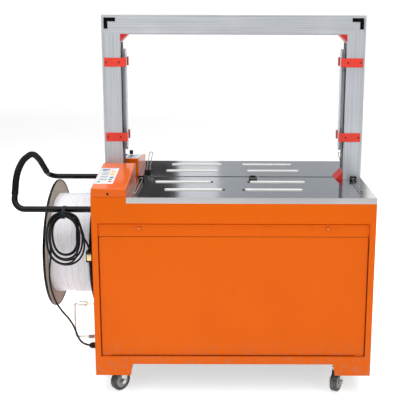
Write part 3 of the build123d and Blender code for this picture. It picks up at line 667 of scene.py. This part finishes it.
def coil_turns(turns):
    """Points of the hank: a tall oval loop whose strands step round a hexagon, one site further on each turn.

    x = a cos t, z = a sin t + b sin t / sqrt(sin^2 t + 0.3), with t falling from pi.  The strands move to their
    next sites over the top of the loop, last strand first, so that none crosses another; the eighth site lies
    outside the hexagon.  They fan out at the free lower end, where one strand also swings inward.
    """
    count = int(turns * POINTS_PER_TURN)
    s = (np.arange(count) + 0.9) / POINTS_PER_TURN
    t = np.pi - 2 * np.pi * s
    reach = np.array([0, 1, 1, 1, 1, 1, 1, 3 ** 0.5])
    bearing = np.pi / 3 * np.array([0, 0, 1, 2, 3, 4, 5, 5.5]) + 0.26
    site = STRAND_PITCH * reach * np.exp(1j * bearing)
    lap = np.floor(s).astype(int)
    change = 0.02 + 0.06 * (6 - lap)
    step = np.clip((s - lap - change) / 0.15, 0, 1)
    step = step * step * (3 - 2 * step)
    offset = site[lap] * (1 - step) + site[lap + 1] * step
    down = (1 - np.sin(t)) / 2
    stray = np.where(lap == 5, np.exp(-((s - lap - 0.52) / 0.13) ** 2), 0)
    outward = offset.real * (1.05 + 1.9 * down ** 1.5) - 22 * stray
    aside = offset.imag * (1.05 + 0.15 * down) - 12 * stray
    radius = COIL_HALF_WIDTH + outward
    lift = COIL_LIFT * np.sin(t) / np.sqrt(np.sin(t) ** 2 + 0.3)
    x = COIL_MIDDLE[0] + radius * np.cos(t)
    z = COIL_MIDDLE[2] + radius * np.sin(t) + lift
    return np.stack([x, COIL_MIDDLE[1] + aside, z], -1)


def nurbs_line(name, points):
    """A smooth open NURBS curve with these control points, in millimetres."""
    curve = bpy.data.curves.new(name, "CURVE")
    curve.dimensions = "3D"
    curve.resolution_u = 6
    spline = curve.splines.new("NURBS")
    spline.points.add(len(points) - 1)
    place = np.ones((len(points), 4))
    place[:, :3] = np.asarray(points, float) * MM
    spline.points.foreach_set("co", place.ravel())
    spline.order_u = 3
    spline.use_endpoint_u = True
    piece = bpy.data.objects.new(name, curve)
    bpy.context.scene.collection.objects.link(piece)
    return piece


def curve_length(piece):
    """Length of a curve object's own line, before it has a bevel."""
    line = bpy.data.meshes.new_from_object(piece.evaluated_get(bpy.context.evaluated_depsgraph_get()))
    points = np.empty(len(line.vertices) * 3)
    line.vertices.foreach_get("co", points)
    bpy.data.meshes.remove(line)
    return float(np.linalg.norm(np.diff(points.reshape(-1, 3), axis=0), axis=1).sum())


class STRAPPING_OT_cord(bpy.types.Operator):
    """Power cord from the gland through the hanging hank to its plug, with its tie and strain relief"""

    bl_idname = "strapping.cord"
    bl_label = "Power cord"

    def execute(self, context):
        diameter = sizes().cord_diameter
        points = np.concatenate([TAIL, coil_turns(sizes().coil_turns), PLUG_LEAD])
        cord = nurbs_line("power_cord_line", points)
        bpy.context.view_layer.update()
        length = curve_length(cord)
        cord.data.bevel_depth = diameter / 2
        cord.data.bevel_resolution = 4
        cord.data.use_fill_caps = True
        cord.data.materials.append(finish("jacket"))
        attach(cord, "machine")
        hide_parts("power_cord", "cord_coil")
        extras = self.plug_details()
        self.tie()
        dress("black_plastic", "power_plug", "cable_gland")
        return {"FINISHED"}

    def plug_details(self):
        """Ribbed relief over the plug's neck, and the brass-coloured face between its pins."""
        low, high = corners("power_plug")
        middle = (low + high) / 2
        neck = np.linspace(0, 1, 40)
        ribs = 3.6 + 2.2 * (1 - neck) + 0.45 * np.sign(np.sin(neck * 12 * np.pi))
        top = high[2] + 9 * MM
        profile = np.stack([ribs * MM, (high[2] - 7 * MM) + neck * (top - high[2] + 7 * MM)], -1)
        profile = np.concatenate([[[0, profile[0, 1]]], profile, [[0, top]]])
        relief = build("plug_relief", [turned(profile, [middle[0], middle[1], 0], (0, 0, 1))], "machine",
                       "black_plastic")
        face_x = [middle[0], low[1] - 0.2 * MM, high[2] - 25 * MM]
        badge = build("plug_face", [plate(face_x, (1, 0, 0), (0, 0, 1), 8 * MM, 12 * MM, 2 * MM, 1.2 * MM, 0.4 * MM)],
                      "machine", "pin_brass")
        return [relief, badge]

    def tie(self):
        """Hook-and-loop strap round the guard tube and the top of the hank: an ellipse, carried by its own width."""
        tube_y, tube_z = -265 * MM, 698 * MM
        coil_y, coil_z = COIL_MIDDLE[1] * MM, (COIL_MIDDLE[2] + COIL_HALF_WIDTH + 26) * MM
        middle = np.array([COIL_MIDDLE[0] * MM - 4 * MM, (tube_y + coil_y) / 2, (tube_z + coil_z) / 2])
        along = np.array([0, coil_y - tube_y, coil_z - tube_z])
        reach = np.linalg.norm(along)
        along /= reach
        across = np.cross([1, 0, 0], along)
        a = np.linspace(0, 2 * np.pi, 72, endpoint=False)
        rings = []
        for dx, grow in ((-6, 0), (6, 0), (6, 1.1), (-6, 1.1)):
            long_half, short_half = reach / 2 + (13.6 + grow) * MM, (12.6 + grow) * MM
            ring = np.cos(a)[:, None] * along * long_half + np.sin(a)[:, None] * across * short_half
            rings.append(middle + np.array([dx * MM, 0, 0]) + ring)
        build("cord_tie", [(np.stack(rings), True, True)], "machine", "black_plastic")


# ---------------------------------------------------------------- cabinet
class STRAPPING_OT_cabinet(bpy.types.Operator):
    """Paint on the cabinet and door, and the screws that hold its sheets"""

    bl_idname = "strapping.cabinet"
    bl_label = "Cabinet"

    def execute(self, context):
        dress("cabinet_paint", "side_panel_left", "side_panel_right", "front_frame", "rear_panel", "front_door")
        dress("cabinet_paint", "door_lock_left", "door_lock_right")
        dress("black_enamel", "chassis")
        self.screws()
        self.gasket()
        core = np.array([(0, 0), (3.1, 0), (3.1, 0.5), (2.7, 0.9), (1.0, 0.9), (0.8, 0.3), (0, 0.3)]) * MM
        for side in ("left", "right"):
            low, high = corners(f"door_lock_{side}")
            middle = [low[0] + 9 * MM, low[1] + 1.2 * MM, (low[2] + high[2]) / 2]
            build(f"lock_core_{side}", [turned(core, middle, (0, -1, 0))], f"lock_{side}", "bright_zinc")
        return {"FINISHED"}

    def screws(self):
        low, high = corners("rear_panel")
        r = sizes().screw_radius
        head = screw_profile(r, 0.5 * r)
        z = np.linspace(low[2] + 70 * MM, high[2] - 30 * MM, 4)
        back = [(x, high[1], h) for x in (low[0] + 12 * MM, high[0] - 12 * MM) for h in z]
        build("rear_screws", [turned(head, back, (0, 1, 0), 16)], "machine", "bright_zinc")

    def gasket(self):
        """Rubber seal behind the door's edge: a round bead carried round a rounded rectangle."""
        low, high = corners("front_door")
        y = low[1] + 3.2 * MM
        half_x, half_z = (high[0] - low[0]) / 2 + 1.6 * MM, (high[2] - low[2]) / 2 + 0.4 * MM
        outline = rounded_outline(half_x, half_z, 4 * MM)
        middle = (low + high) / 2
        path = np.stack([middle[0] + outline[:, 0], np.full(len(outline), y), middle[2] + outline[:, 1]], -1)
        build("door_seal", [piped(path, 0.55 * MM, 8, (0, 1, 0), True)], "machine", "black_plastic")


# ---------------------------------------------------------------- table
class STRAPPING_OT_table(bpy.types.Operator):
    """Brushed table plates, glide strips with their round end stops, strap channel and anvil"""

    bl_idname = "strapping.table"
    bl_label = "Table"

    def execute(self, context):
        dress("table_steel", "front_table_plate", "rear_table_plate")
        dress("white_plastic", "glide_strips")
        dress("black_plastic", "strap_slot_channel")
        dress("black_enamel", "sealing_anvil")
        low, high = corners("glide_strips")
        middle = (low[0] + high[0]) / 2 + 11 * MM
        ends = [(-80.5, -81), (-35.5, -204), (58.5, -81), (36.5, -204)]
        dots = [(middle + x * MM, y * MM, low[2]) for x, y in ends]
        build("strip_stops", [turned(screw_profile(4.6 * MM, 2.4 * MM), dots, (0, 0, 1), 20)], "machine",
              "black_plastic")
        return {"FINISHED"}


# ---------------------------------------------------------------- arch
class STRAPPING_OT_arch(bpy.types.Operator):
    """Anodised arch, its clips, corner guides, brackets and strap gates"""

    bl_idname = "strapping.arch"
    bl_label = "Arch"

    def execute(self, context):
        dress("arch_post_metal", "arch_post_left", "arch_post_right", "strap_gate_left", "strap_gate_right")
        dress("arch_beam_metal", "arch_beam")
        dress("clip_plastic", "gate_clips_left", "gate_clips_right")
        dress("guide_plastic", "corner_guides")
        dress("black_enamel", "corner_brackets")
        self.track_lips()
        self.clip_screws()
        return {"FINISHED"}

    def track_lips(self):
        """Dark brush strips either side of the strap groove on the inner faces of the posts and beam."""
        _, left_high = corners("arch_post_left")
        right_low, _ = corners("arch_post_right")
        beam_low, _ = corners("arch_beam")
        z0, z1 = 790 * MM, beam_low[2] - 32 * MM
        mid_z, half_z = (z0 + z1) / 2, (z1 - z0) / 2
        mid_x, half_x = (left_high[0] + right_low[0]) / 2, (right_low[0] - left_high[0]) / 2 - 34 * MM
        half_y, section = 4 * MM, (1.5 * MM, 2 * MM, 0.5 * MM)
        grids = []
        for y in (-8 * MM, 28 * MM):
            grids.append(plate([left_high[0], y, mid_z], (0, 1, 0), (0, 0, 1), half_y, half_z, *section))
            grids.append(plate([right_low[0], y, mid_z], (0, 0, 1), (0, 1, 0), half_z, half_y, *section))
            grids.append(plate([mid_x, y, beam_low[2]], (0, 1, 0), (1, 0, 0), half_y, half_x, *section))
        build("track_lips", grids, "machine", "black_plastic")

    def clip_screws(self):
        grids = []
        for node in ("gate_clips_left", "gate_clips_right"):
            low, high = corners(node)
            outer = low[0] + 8 * MM if node.endswith("left") else high[0] - 8 * MM
            inner = high[0] - 26 * MM if node.endswith("left") else low[0] + 26 * MM
            for x in (outer, inner):
                for z in (low[2] + 16.5 * MM, high[2] - 16.5 * MM):
                    grids.append(turned(screw_profile(2.8 * MM, 1.6 * MM), [x, low[1], z], (0, -1, 0), 18))
        build("clip_screws", grids, "machine", "black_enamel")


# ---------------------------------------------------------------- hoods and controls
class STRAPPING_OT_controls(bpy.types.Operator):
    """Painted hoods, the printed label in front, and the control plate, knob and switch behind"""

    bl_idname = "strapping.controls"
    bl_label = "Hoods and controls"

    def execute(self, context):
        dress("hood_paint", "control_hood_front", "control_hood_rear")
        dress("black_plastic", "power_switch", "tension_knob", "bail_blocks")
        dress("dull_wire", "bail_front_left", "bail_front_right", "bail_rear_left", "bail_rear_right")
        self.front_label()
        self.rear_plate()
        self.hood_screws()
        return {"FINISHED"}

    def slope(self, node, rising):
        """Middle line of a hood's top: low end, high end, and the unit vector up the slope."""
        low, high = corners(node)
        x = (low[0] + high[0]) / 2
        near, far = (low[1], high[1]) if rising else (high[1], low[1])
        start = np.array([x, near, low[2] + 31 * MM])
        end = np.array([x, far, high[2]])
        return start, end, (end - start) / np.linalg.norm(end - start)

    def front_label(self):
        start, _, up = self.slope("control_hood_front", True)
        side = np.array([1.0, 0, 0])
        normal = np.cross(side, up)
        middle = start + up * 136 * MM - side * 25 * MM
        build("hood_label", [plate(middle, side, up, 34 * MM, 86 * MM, 3 * MM, 0.6 * MM, 0.2 * MM)], "machine",
              "label_white")
        marks = {"label_red": [(-2, 66, 5, 6), (20, -64, 6, 6)], "label_yellow": [(18, 42, 8, 9), (18, 12, 8, 9)],
                 "label_blue": [(-16, 64, 9, 8), (20, -20, 7, 8)], "label_green": [(18, -42, 7, 6), (-20, -66, 6, 6)],
                 "label_grey": [(-8, 40, 14, 5), (-8, 23, 14, 3), (-8, 9, 14, 4), (-8, -11, 14, 5), (-8, -28, 14, 3),
                                (-8, -45, 14, 5)]}
        for name, spots in marks.items():
            grids = [plate(middle + side * u * MM + up * v * MM + normal * 0.6 * MM, side, up, a * MM, b * MM, 2 * MM,
                           0.3 * MM, 0.1 * MM) for u, v, a, b in spots]
            build(name.replace("label", "hood_mark"), grids, "machine", name)

    def rear_plate(self):
        start, end, up = self.slope("control_hood_rear", False)
        side = np.array([-1.0, 0, 0])
        normal = np.cross(side, up)
        middle = (start + end) / 2
        build("control_plate", [plate(middle, side, up, 55 * MM, 126 * MM, 3 * MM, 0.8 * MM, 0.25 * MM)], "machine",
              "panel_pale")
        bars = [middle + side * u * MM + up * v * MM + normal * 0.8 * MM for u, v in ((-22, 96), (-22, 40), (-22, -16))]
        build("control_bars", [plate(bars, side, up, 24 * MM, 7 * MM, 2 * MM, 0.4 * MM, 0.15 * MM)], "machine",
              "label_blue")
        places = [middle - side * 22 * MM + up * v * MM + normal * 0.8 * MM for v in (70, 12)]
        cap = [(7, 0), (7, 1.2), (5.6, 1.8), (5.4, 3.6), (4.8, 4.2), (0, 4.4)]
        for spot, name in zip(places, ("label_green", "label_red")):
            build(name.replace("label", "push_button"), [turned(np.array(cap) * MM, spot, normal)], "machine",
                  name)
        low, high = corners("tension_knob")
        centre = np.array([(low[0] + high[0]) / 2, (low[1] + high[1]) / 2, low[2] + 0.2 * MM])
        a = np.radians(np.linspace(-130, 130, 11))
        ticks = centre + 12 * MM * np.stack([np.sin(a), np.cos(a), np.zeros(11)], -1)
        drop = (ticks - start) @ normal
        ticks -= (drop - 0.1 * MM)[:, None] * normal
        build("dial_ticks", [turned(np.array([(1.3, 0), (1.3, 0.4), (0, 0.5)]) * MM, ticks, normal, 12)], "machine",
              "label_white")

    def hood_screws(self):
        low, _ = corners("control_hood_front")
        head = screw_profile(3.8 * MM, 2 * MM)
        front = [(low[0] + 60 * MM, low[1], low[2] + 12 * MM)]
        sides = [(low[0], y, low[2] + 10 * MM) for y in (-250 * MM, -110 * MM, 120 * MM, 260 * MM)]
        build("hood_screws", [turned(head, front, (0, -1, 0), 18), turned(head, sides, (-1, 0, 0), 18)], "machine",
              "black_enamel")


# ---------------------------------------------------------------- guard
class STRAPPING_OT_guard(bpy.types.Operator):
    """Enamelled guard tubes, the foam handle and its end collars"""

    bl_idname = "strapping.guard"
    bl_label = "Guard"

    def execute(self, context):
        dress("black_enamel", "guard_bar")
        dress("foam", "guard_handle")
        low, high = corners("guard_bar")
        handle_low, _ = corners("guard_handle")
        x = handle_low[0] + 12 * MM
        tube_z = low[2] + 24 * MM
        grids = []
        for corner_y, end_y, rise in ((-265, -241, 52), (265, 219, 32)):
            foot = np.array([x, corner_y * MM, tube_z])
            end = np.array([x, end_y * MM, tube_z + rise * MM])
            along = (end - foot) / np.linalg.norm(end - foot)
            profile = [(0, -4), (11.8, -4), (12.5, -3), (12.7, 2), (12.3, 3), (12.1, 3.2), (0, 3.2)]
            grids.append(turned(np.array(profile) * MM, end, along))
        build("handle_collars", grids, "machine", "black_enamel")
        wall = high[0]
        bolts = [(wall - 5 * MM, y * MM + dy * MM, tube_z + dz * MM) for y in (-265, 265) for dy, dz in
                 ((17.5, 0), (-17.5, 0), (0, 17.5), (0, -17.5))]
        build("flange_bolts", [turned(screw_profile(3.4 * MM, 2.4 * MM), bolts, (-1, 0, 0), 6)], "machine",
              "bright_zinc", sharp=20)
        return {"FINISHED"}


# ---------------------------------------------------------------- reel
class STRAPPING_OT_reel(bpy.types.Operator):
    """Wound strap, board and painted flanges with rolled rims, drum, shaft and end nut"""

    bl_idname = "strapping.reel"
    bl_label = "Strap reel"

    BORE = 75.5 * MM

    def execute(self, context):
        dress("board", "reel_flange_outer", "reel_drum")
        dress("black_enamel", "reel_flange_inner")
        dress("bright_zinc", "reel_shaft")
        dress("black_plastic", "reel_nut")
        self.wound_roll()
        self.rims()
        return {"FINISHED"}

    def wound_roll(self):
        """Roll of strap: r = R - 0.5 mm lap^6 + ripple, where lap = 2 |frac(turn) - 1/2| falls from 1 to 0 and back
        over each strap's width, and turn = x / width + angle / 2 pi drifts by one width a turn."""
        low, high = corners("strap_roll")
        centre_y, centre_z = (low[1] + high[1]) / 2, (low[2] + high[2]) / 2
        outer = (high[2] - low[2]) / 2
        x = np.linspace(low[0], high[0], 260)
        a = np.linspace(0, 2 * np.pi, 160, endpoint=False)
        grid_x, angle = np.meshgrid(x, a, indexing="ij")
        turn = grid_x / sizes().strap_width + angle / (2 * np.pi)
        lap = 2 * np.abs(turn - np.floor(turn) - 0.5)
        layer = np.floor(turn)
        ripple = 0.9 * np.sin(layer * 2.7 + 1.0) * MM + 0.5 * np.sin(3 * angle + layer) * MM
        edge = np.clip(np.minimum(grid_x - low[0], high[0] - grid_x) / (2 * MM), 0, 1)
        last_lap = 2.6 * MM * np.clip((grid_x - (low[0] + high[0]) / 2) / (0.8 * MM), 0, 1)
        radius = outer - 4.0 * MM + last_lap + ripple * edge * 0.6 - 0.5 * MM * lap ** 6 - 1.5 * MM * (1 - edge)
        wall = np.stack([grid_x, centre_y + radius * np.cos(angle), centre_z + radius * np.sin(angle)], -1)
        across, up = centre_y + self.BORE * np.cos(a), centre_z + self.BORE * np.sin(a)
        hub = [np.stack([np.full_like(a, end), across, up], -1) for end in (high[0], low[0])]
        shell = np.concatenate([wall, np.stack(hub)])
        roll = build("wound_strap_roll", [(shell, True, True)], "reel", "strap_on_reel", 50)
        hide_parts("strap_roll")

    def rims(self):
        grids = []
        for node in ("reel_flange_inner", "reel_flange_outer"):
            low, high = corners(node)
            middle = (low + high) / 2
            radius = (high[2] - low[2]) / 2 - 0.6 * MM
            a = np.linspace(0, 2 * np.pi, 14, endpoint=False)
            half = sizes().rim_thickness / 2
            ring = np.stack([radius + half * 0.55 * np.cos(a), half * np.sin(a)], -1)
            grid, _, _ = turned(ring, middle, (1, 0, 0), 128)
            grids.append((grid, True, True))
        build("flange_rims", grids, "reel", "black_enamel")


# ---------------------------------------------------------------- brake arm
class STRAPPING_OT_brake(bpy.types.Operator):
    """Strap brake: wire arm, roller with its two nuts, bracket and return spring"""

    bl_idname = "strapping.brake"
    bl_label = "Brake arm"

    def execute(self, context):
        dress("bright_zinc", "brake_arm", "brake_roller", "brake_bracket")
        low, high = corners("brake_roller")
        middle = (low + high) / 2
        nut = np.array([(0, 0), (6.6, 0), (7.2, 0.8), (7.2, 4.4), (6.6, 5.2), (0, 5.2)]) * MM
        left = middle - [(high[0] - low[0]) / 2 + 6.0 * MM, 0, 0]
        right = middle + [(high[0] - low[0]) / 2 + 0.8 * MM, 0, 0]
        build("roller_nut_left", [turned(nut, left, (1, 0, 0), 6)], "brake", "bright_zinc", sharp=20)
        build("roller_nut_right", [turned(nut, right, (1, 0, 0), 6)], "brake", "pin_brass", sharp=20)
        self.spring()
        return {"FINISHED"}

    def spring(self):
        """Helix about the pivot rod, r = 6.4 mm, nine turns."""
        low, high = corners("brake_arm")
        coil, turns = 6.4 * MM, 9
        t = np.linspace(0, 1, turns * 20)
        y, z = low[1] + 4 * MM, low[2] + 4 * MM
        x = high[0] - 12 * MM - t * 22 * MM
        turn = 2 * np.pi * turns * t
        path = np.stack([x, y + coil * np.cos(turn), z + coil * np.sin(turn)], -1)
        build("brake_spring", [piped(path, 0.8 * MM, 8, (1, 0, 0))], "brake", "bright_zinc")


# ---------------------------------------------------------------- casters
class STRAPPING_OT_casters(bpy.types.Operator):
    """Swivel casters: zinc forks and plates, dark treads, grey hubs and axle nuts"""

    bl_idname = "strapping.casters"
    bl_label = "Casters"

    def execute(self, context):
        dress("bright_zinc", "caster_plates")
        roll_joints = {j["child"]: j for j in frame["joints"] if j["name"].startswith("roll_")}
        for corner in ("front_left", "front_right", "rear_left", "rear_right"):
            dress("bright_zinc", f"caster_fork_{corner}")
            dress("tread", f"caster_wheel_{corner}")
            joint = roll_joints[f"wheel_{corner}"]
            centre, axis = np.array(joint["pos_m"]), np.array(joint["axis"])
            hub = np.array([(6.0, 12.2), (8, 13.4), (21, 13.4), (24, 12.9), (25.2, 12.2)]) * MM
            grids = [turned(hub, centre, axis), turned(hub, centre, -axis)]
            build(f"wheel_hub_{corner}", grids, f"wheel_{corner}", "grey_plastic")
            nut = np.array([(0, 20.4), (8.4, 20.4), (8.6, 21), (8.6, 25), (8, 25.8), (0, 25.8)]) * MM
            grids = [turned(nut, centre, axis, 6), turned(nut, centre, -axis, 6)]
            build(f"axle_nuts_{corner}", grids, f"fork_{corner}", "bright_zinc", sharp=20)
        return {"FINISHED"}


# ---------------------------------------------------------------- machinery
class STRAPPING_OT_machinery(bpy.types.Operator):
    """Strapping head, feed rollers, motor with its fins and belt, and the electrical box"""

    bl_idname = "strapping.machinery"
    bl_label = "Machinery"

    MOTOR_AXIS_Z = 500 * MM
    FEED_PULLEY_R = 32.4 * MM
    MOTOR_PULLEY_R = 11.4 * MM
    BELT_Y = -80 * MM

    def execute(self, context):
        dress("machine_enamel", "strapping_head_frame", "drive_motor")
        dress("bright_zinc", "feed_roller", "pinch_roller")
        dress("box_enamel", "electrical_box")
        low, high = corners("drive_motor")
        axis_x, axis_z = (low[0] + high[0]) / 2, self.MOTOR_AXIS_Z
        body_y = np.linspace(-50, 80, 14) * MM
        fin = np.array([(54, -1.2), (60, -1.2), (60, 1.2), (54, 1.2)]) * MM
        centres = [(axis_x, y, axis_z) for y in body_y]
        grid, _, _ = turned(fin, centres, (0, 1, 0), 48)
        build("motor_fins", [(grid, True, True)], "machine", "machine_enamel", sharp=20)
        self.belt(axis_x, axis_z)
        low, high = corners("electrical_box")
        inset = 14 * MM
        spots = [(x, low[1], z) for x in (low[0] + inset, high[0] - inset) for z in (low[2] + inset, high[2] - inset)]
        build("box_screws", [turned(screw_profile(4 * MM, 2 * MM), spots, (0, -1, 0), 16)], "machine",
              "bright_zinc")
        return {"FINISHED"}

    def belt(self, motor_x, motor_z):
        """Round belt: outer tangents and arcs round the motor's shaft and the feed pulley."""
        roller_low, roller_high = corners("feed_roller")
        feed = np.array([(roller_low[0] + roller_high[0]) / 2, (roller_low[2] + roller_high[2]) / 2])
        motor = np.array([motor_x, motor_z])
        gap = feed - motor
        reach = np.linalg.norm(gap)
        heading = math.atan2(gap[1], gap[0])
        lean = math.acos((self.FEED_PULLEY_R - self.MOTOR_PULLEY_R) / reach)
        round_feed = heading + np.linspace(-lean, lean, 40)
        round_motor = heading + np.linspace(lean, 2 * np.pi - lean, 30)
        arc_feed = feed + self.FEED_PULLEY_R * np.stack([np.cos(round_feed), np.sin(round_feed)], -1)
        arc_motor = motor + self.MOTOR_PULLEY_R * np.stack([np.cos(round_motor), np.sin(round_motor)], -1)
        flat = np.concatenate([arc_feed, arc_motor])
        path = np.stack([flat[:, 0], np.full(len(flat), self.BELT_Y), flat[:, 1]], -1)
        build("drive_belt", [piped(path, 2.2 * MM, 10, (0, 1, 0), True)], "machine", "tread")


# ---------------------------------------------------------------- panel and registration
OPERATORS = (STRAPPING_OT_stage, STRAPPING_OT_cord, STRAPPING_OT_cabinet, STRAPPING_OT_table, STRAPPING_OT_arch,
             STRAPPING_OT_controls, STRAPPING_OT_guard, STRAPPING_OT_reel, STRAPPING_OT_brake, STRAPPING_OT_casters,
             STRAPPING_OT_machinery)


class STRAPPING_PT_panel(bpy.types.Panel):
    """Lists the operators and the settings"""

    bl_idname = "STRAPPING_PT_panel"
    bl_label = "Arch strapping machine"
    bl_space_type = "VIEW_3D"
    bl_region_type = "UI"
    bl_category = "Strapping"

    def draw(self, context):
        for group in (context.scene.strapping_sizes, context.scene.strapping_colours):
            box = self.layout.box()
            for name in group.__annotations__:
                box.prop(group, name)
        for operator in OPERATORS:
            self.layout.operator(operator.bl_idname)


CLASSES = (StrappingSizes, StrappingColours, *OPERATORS, STRAPPING_PT_panel)


def register():
    for cls in CLASSES:
        bpy.utils.register_class(cls)
    bpy.types.Scene.strapping_sizes = PointerProperty(type=StrappingSizes)
    bpy.types.Scene.strapping_colours = PointerProperty(type=StrappingColours)


def unregister():
    del bpy.types.Scene.strapping_colours
    del bpy.types.Scene.strapping_sizes
    for cls in reversed(CLASSES):
        bpy.utils.unregister_class(cls)


def main():
    register()
    for operator in OPERATORS:
        group, name = operator.bl_idname.split(".")
        getattr(getattr(bpy.ops, group), name)()
    bpy.context.view_layer.update()


if __name__ == "__main__":
    main()
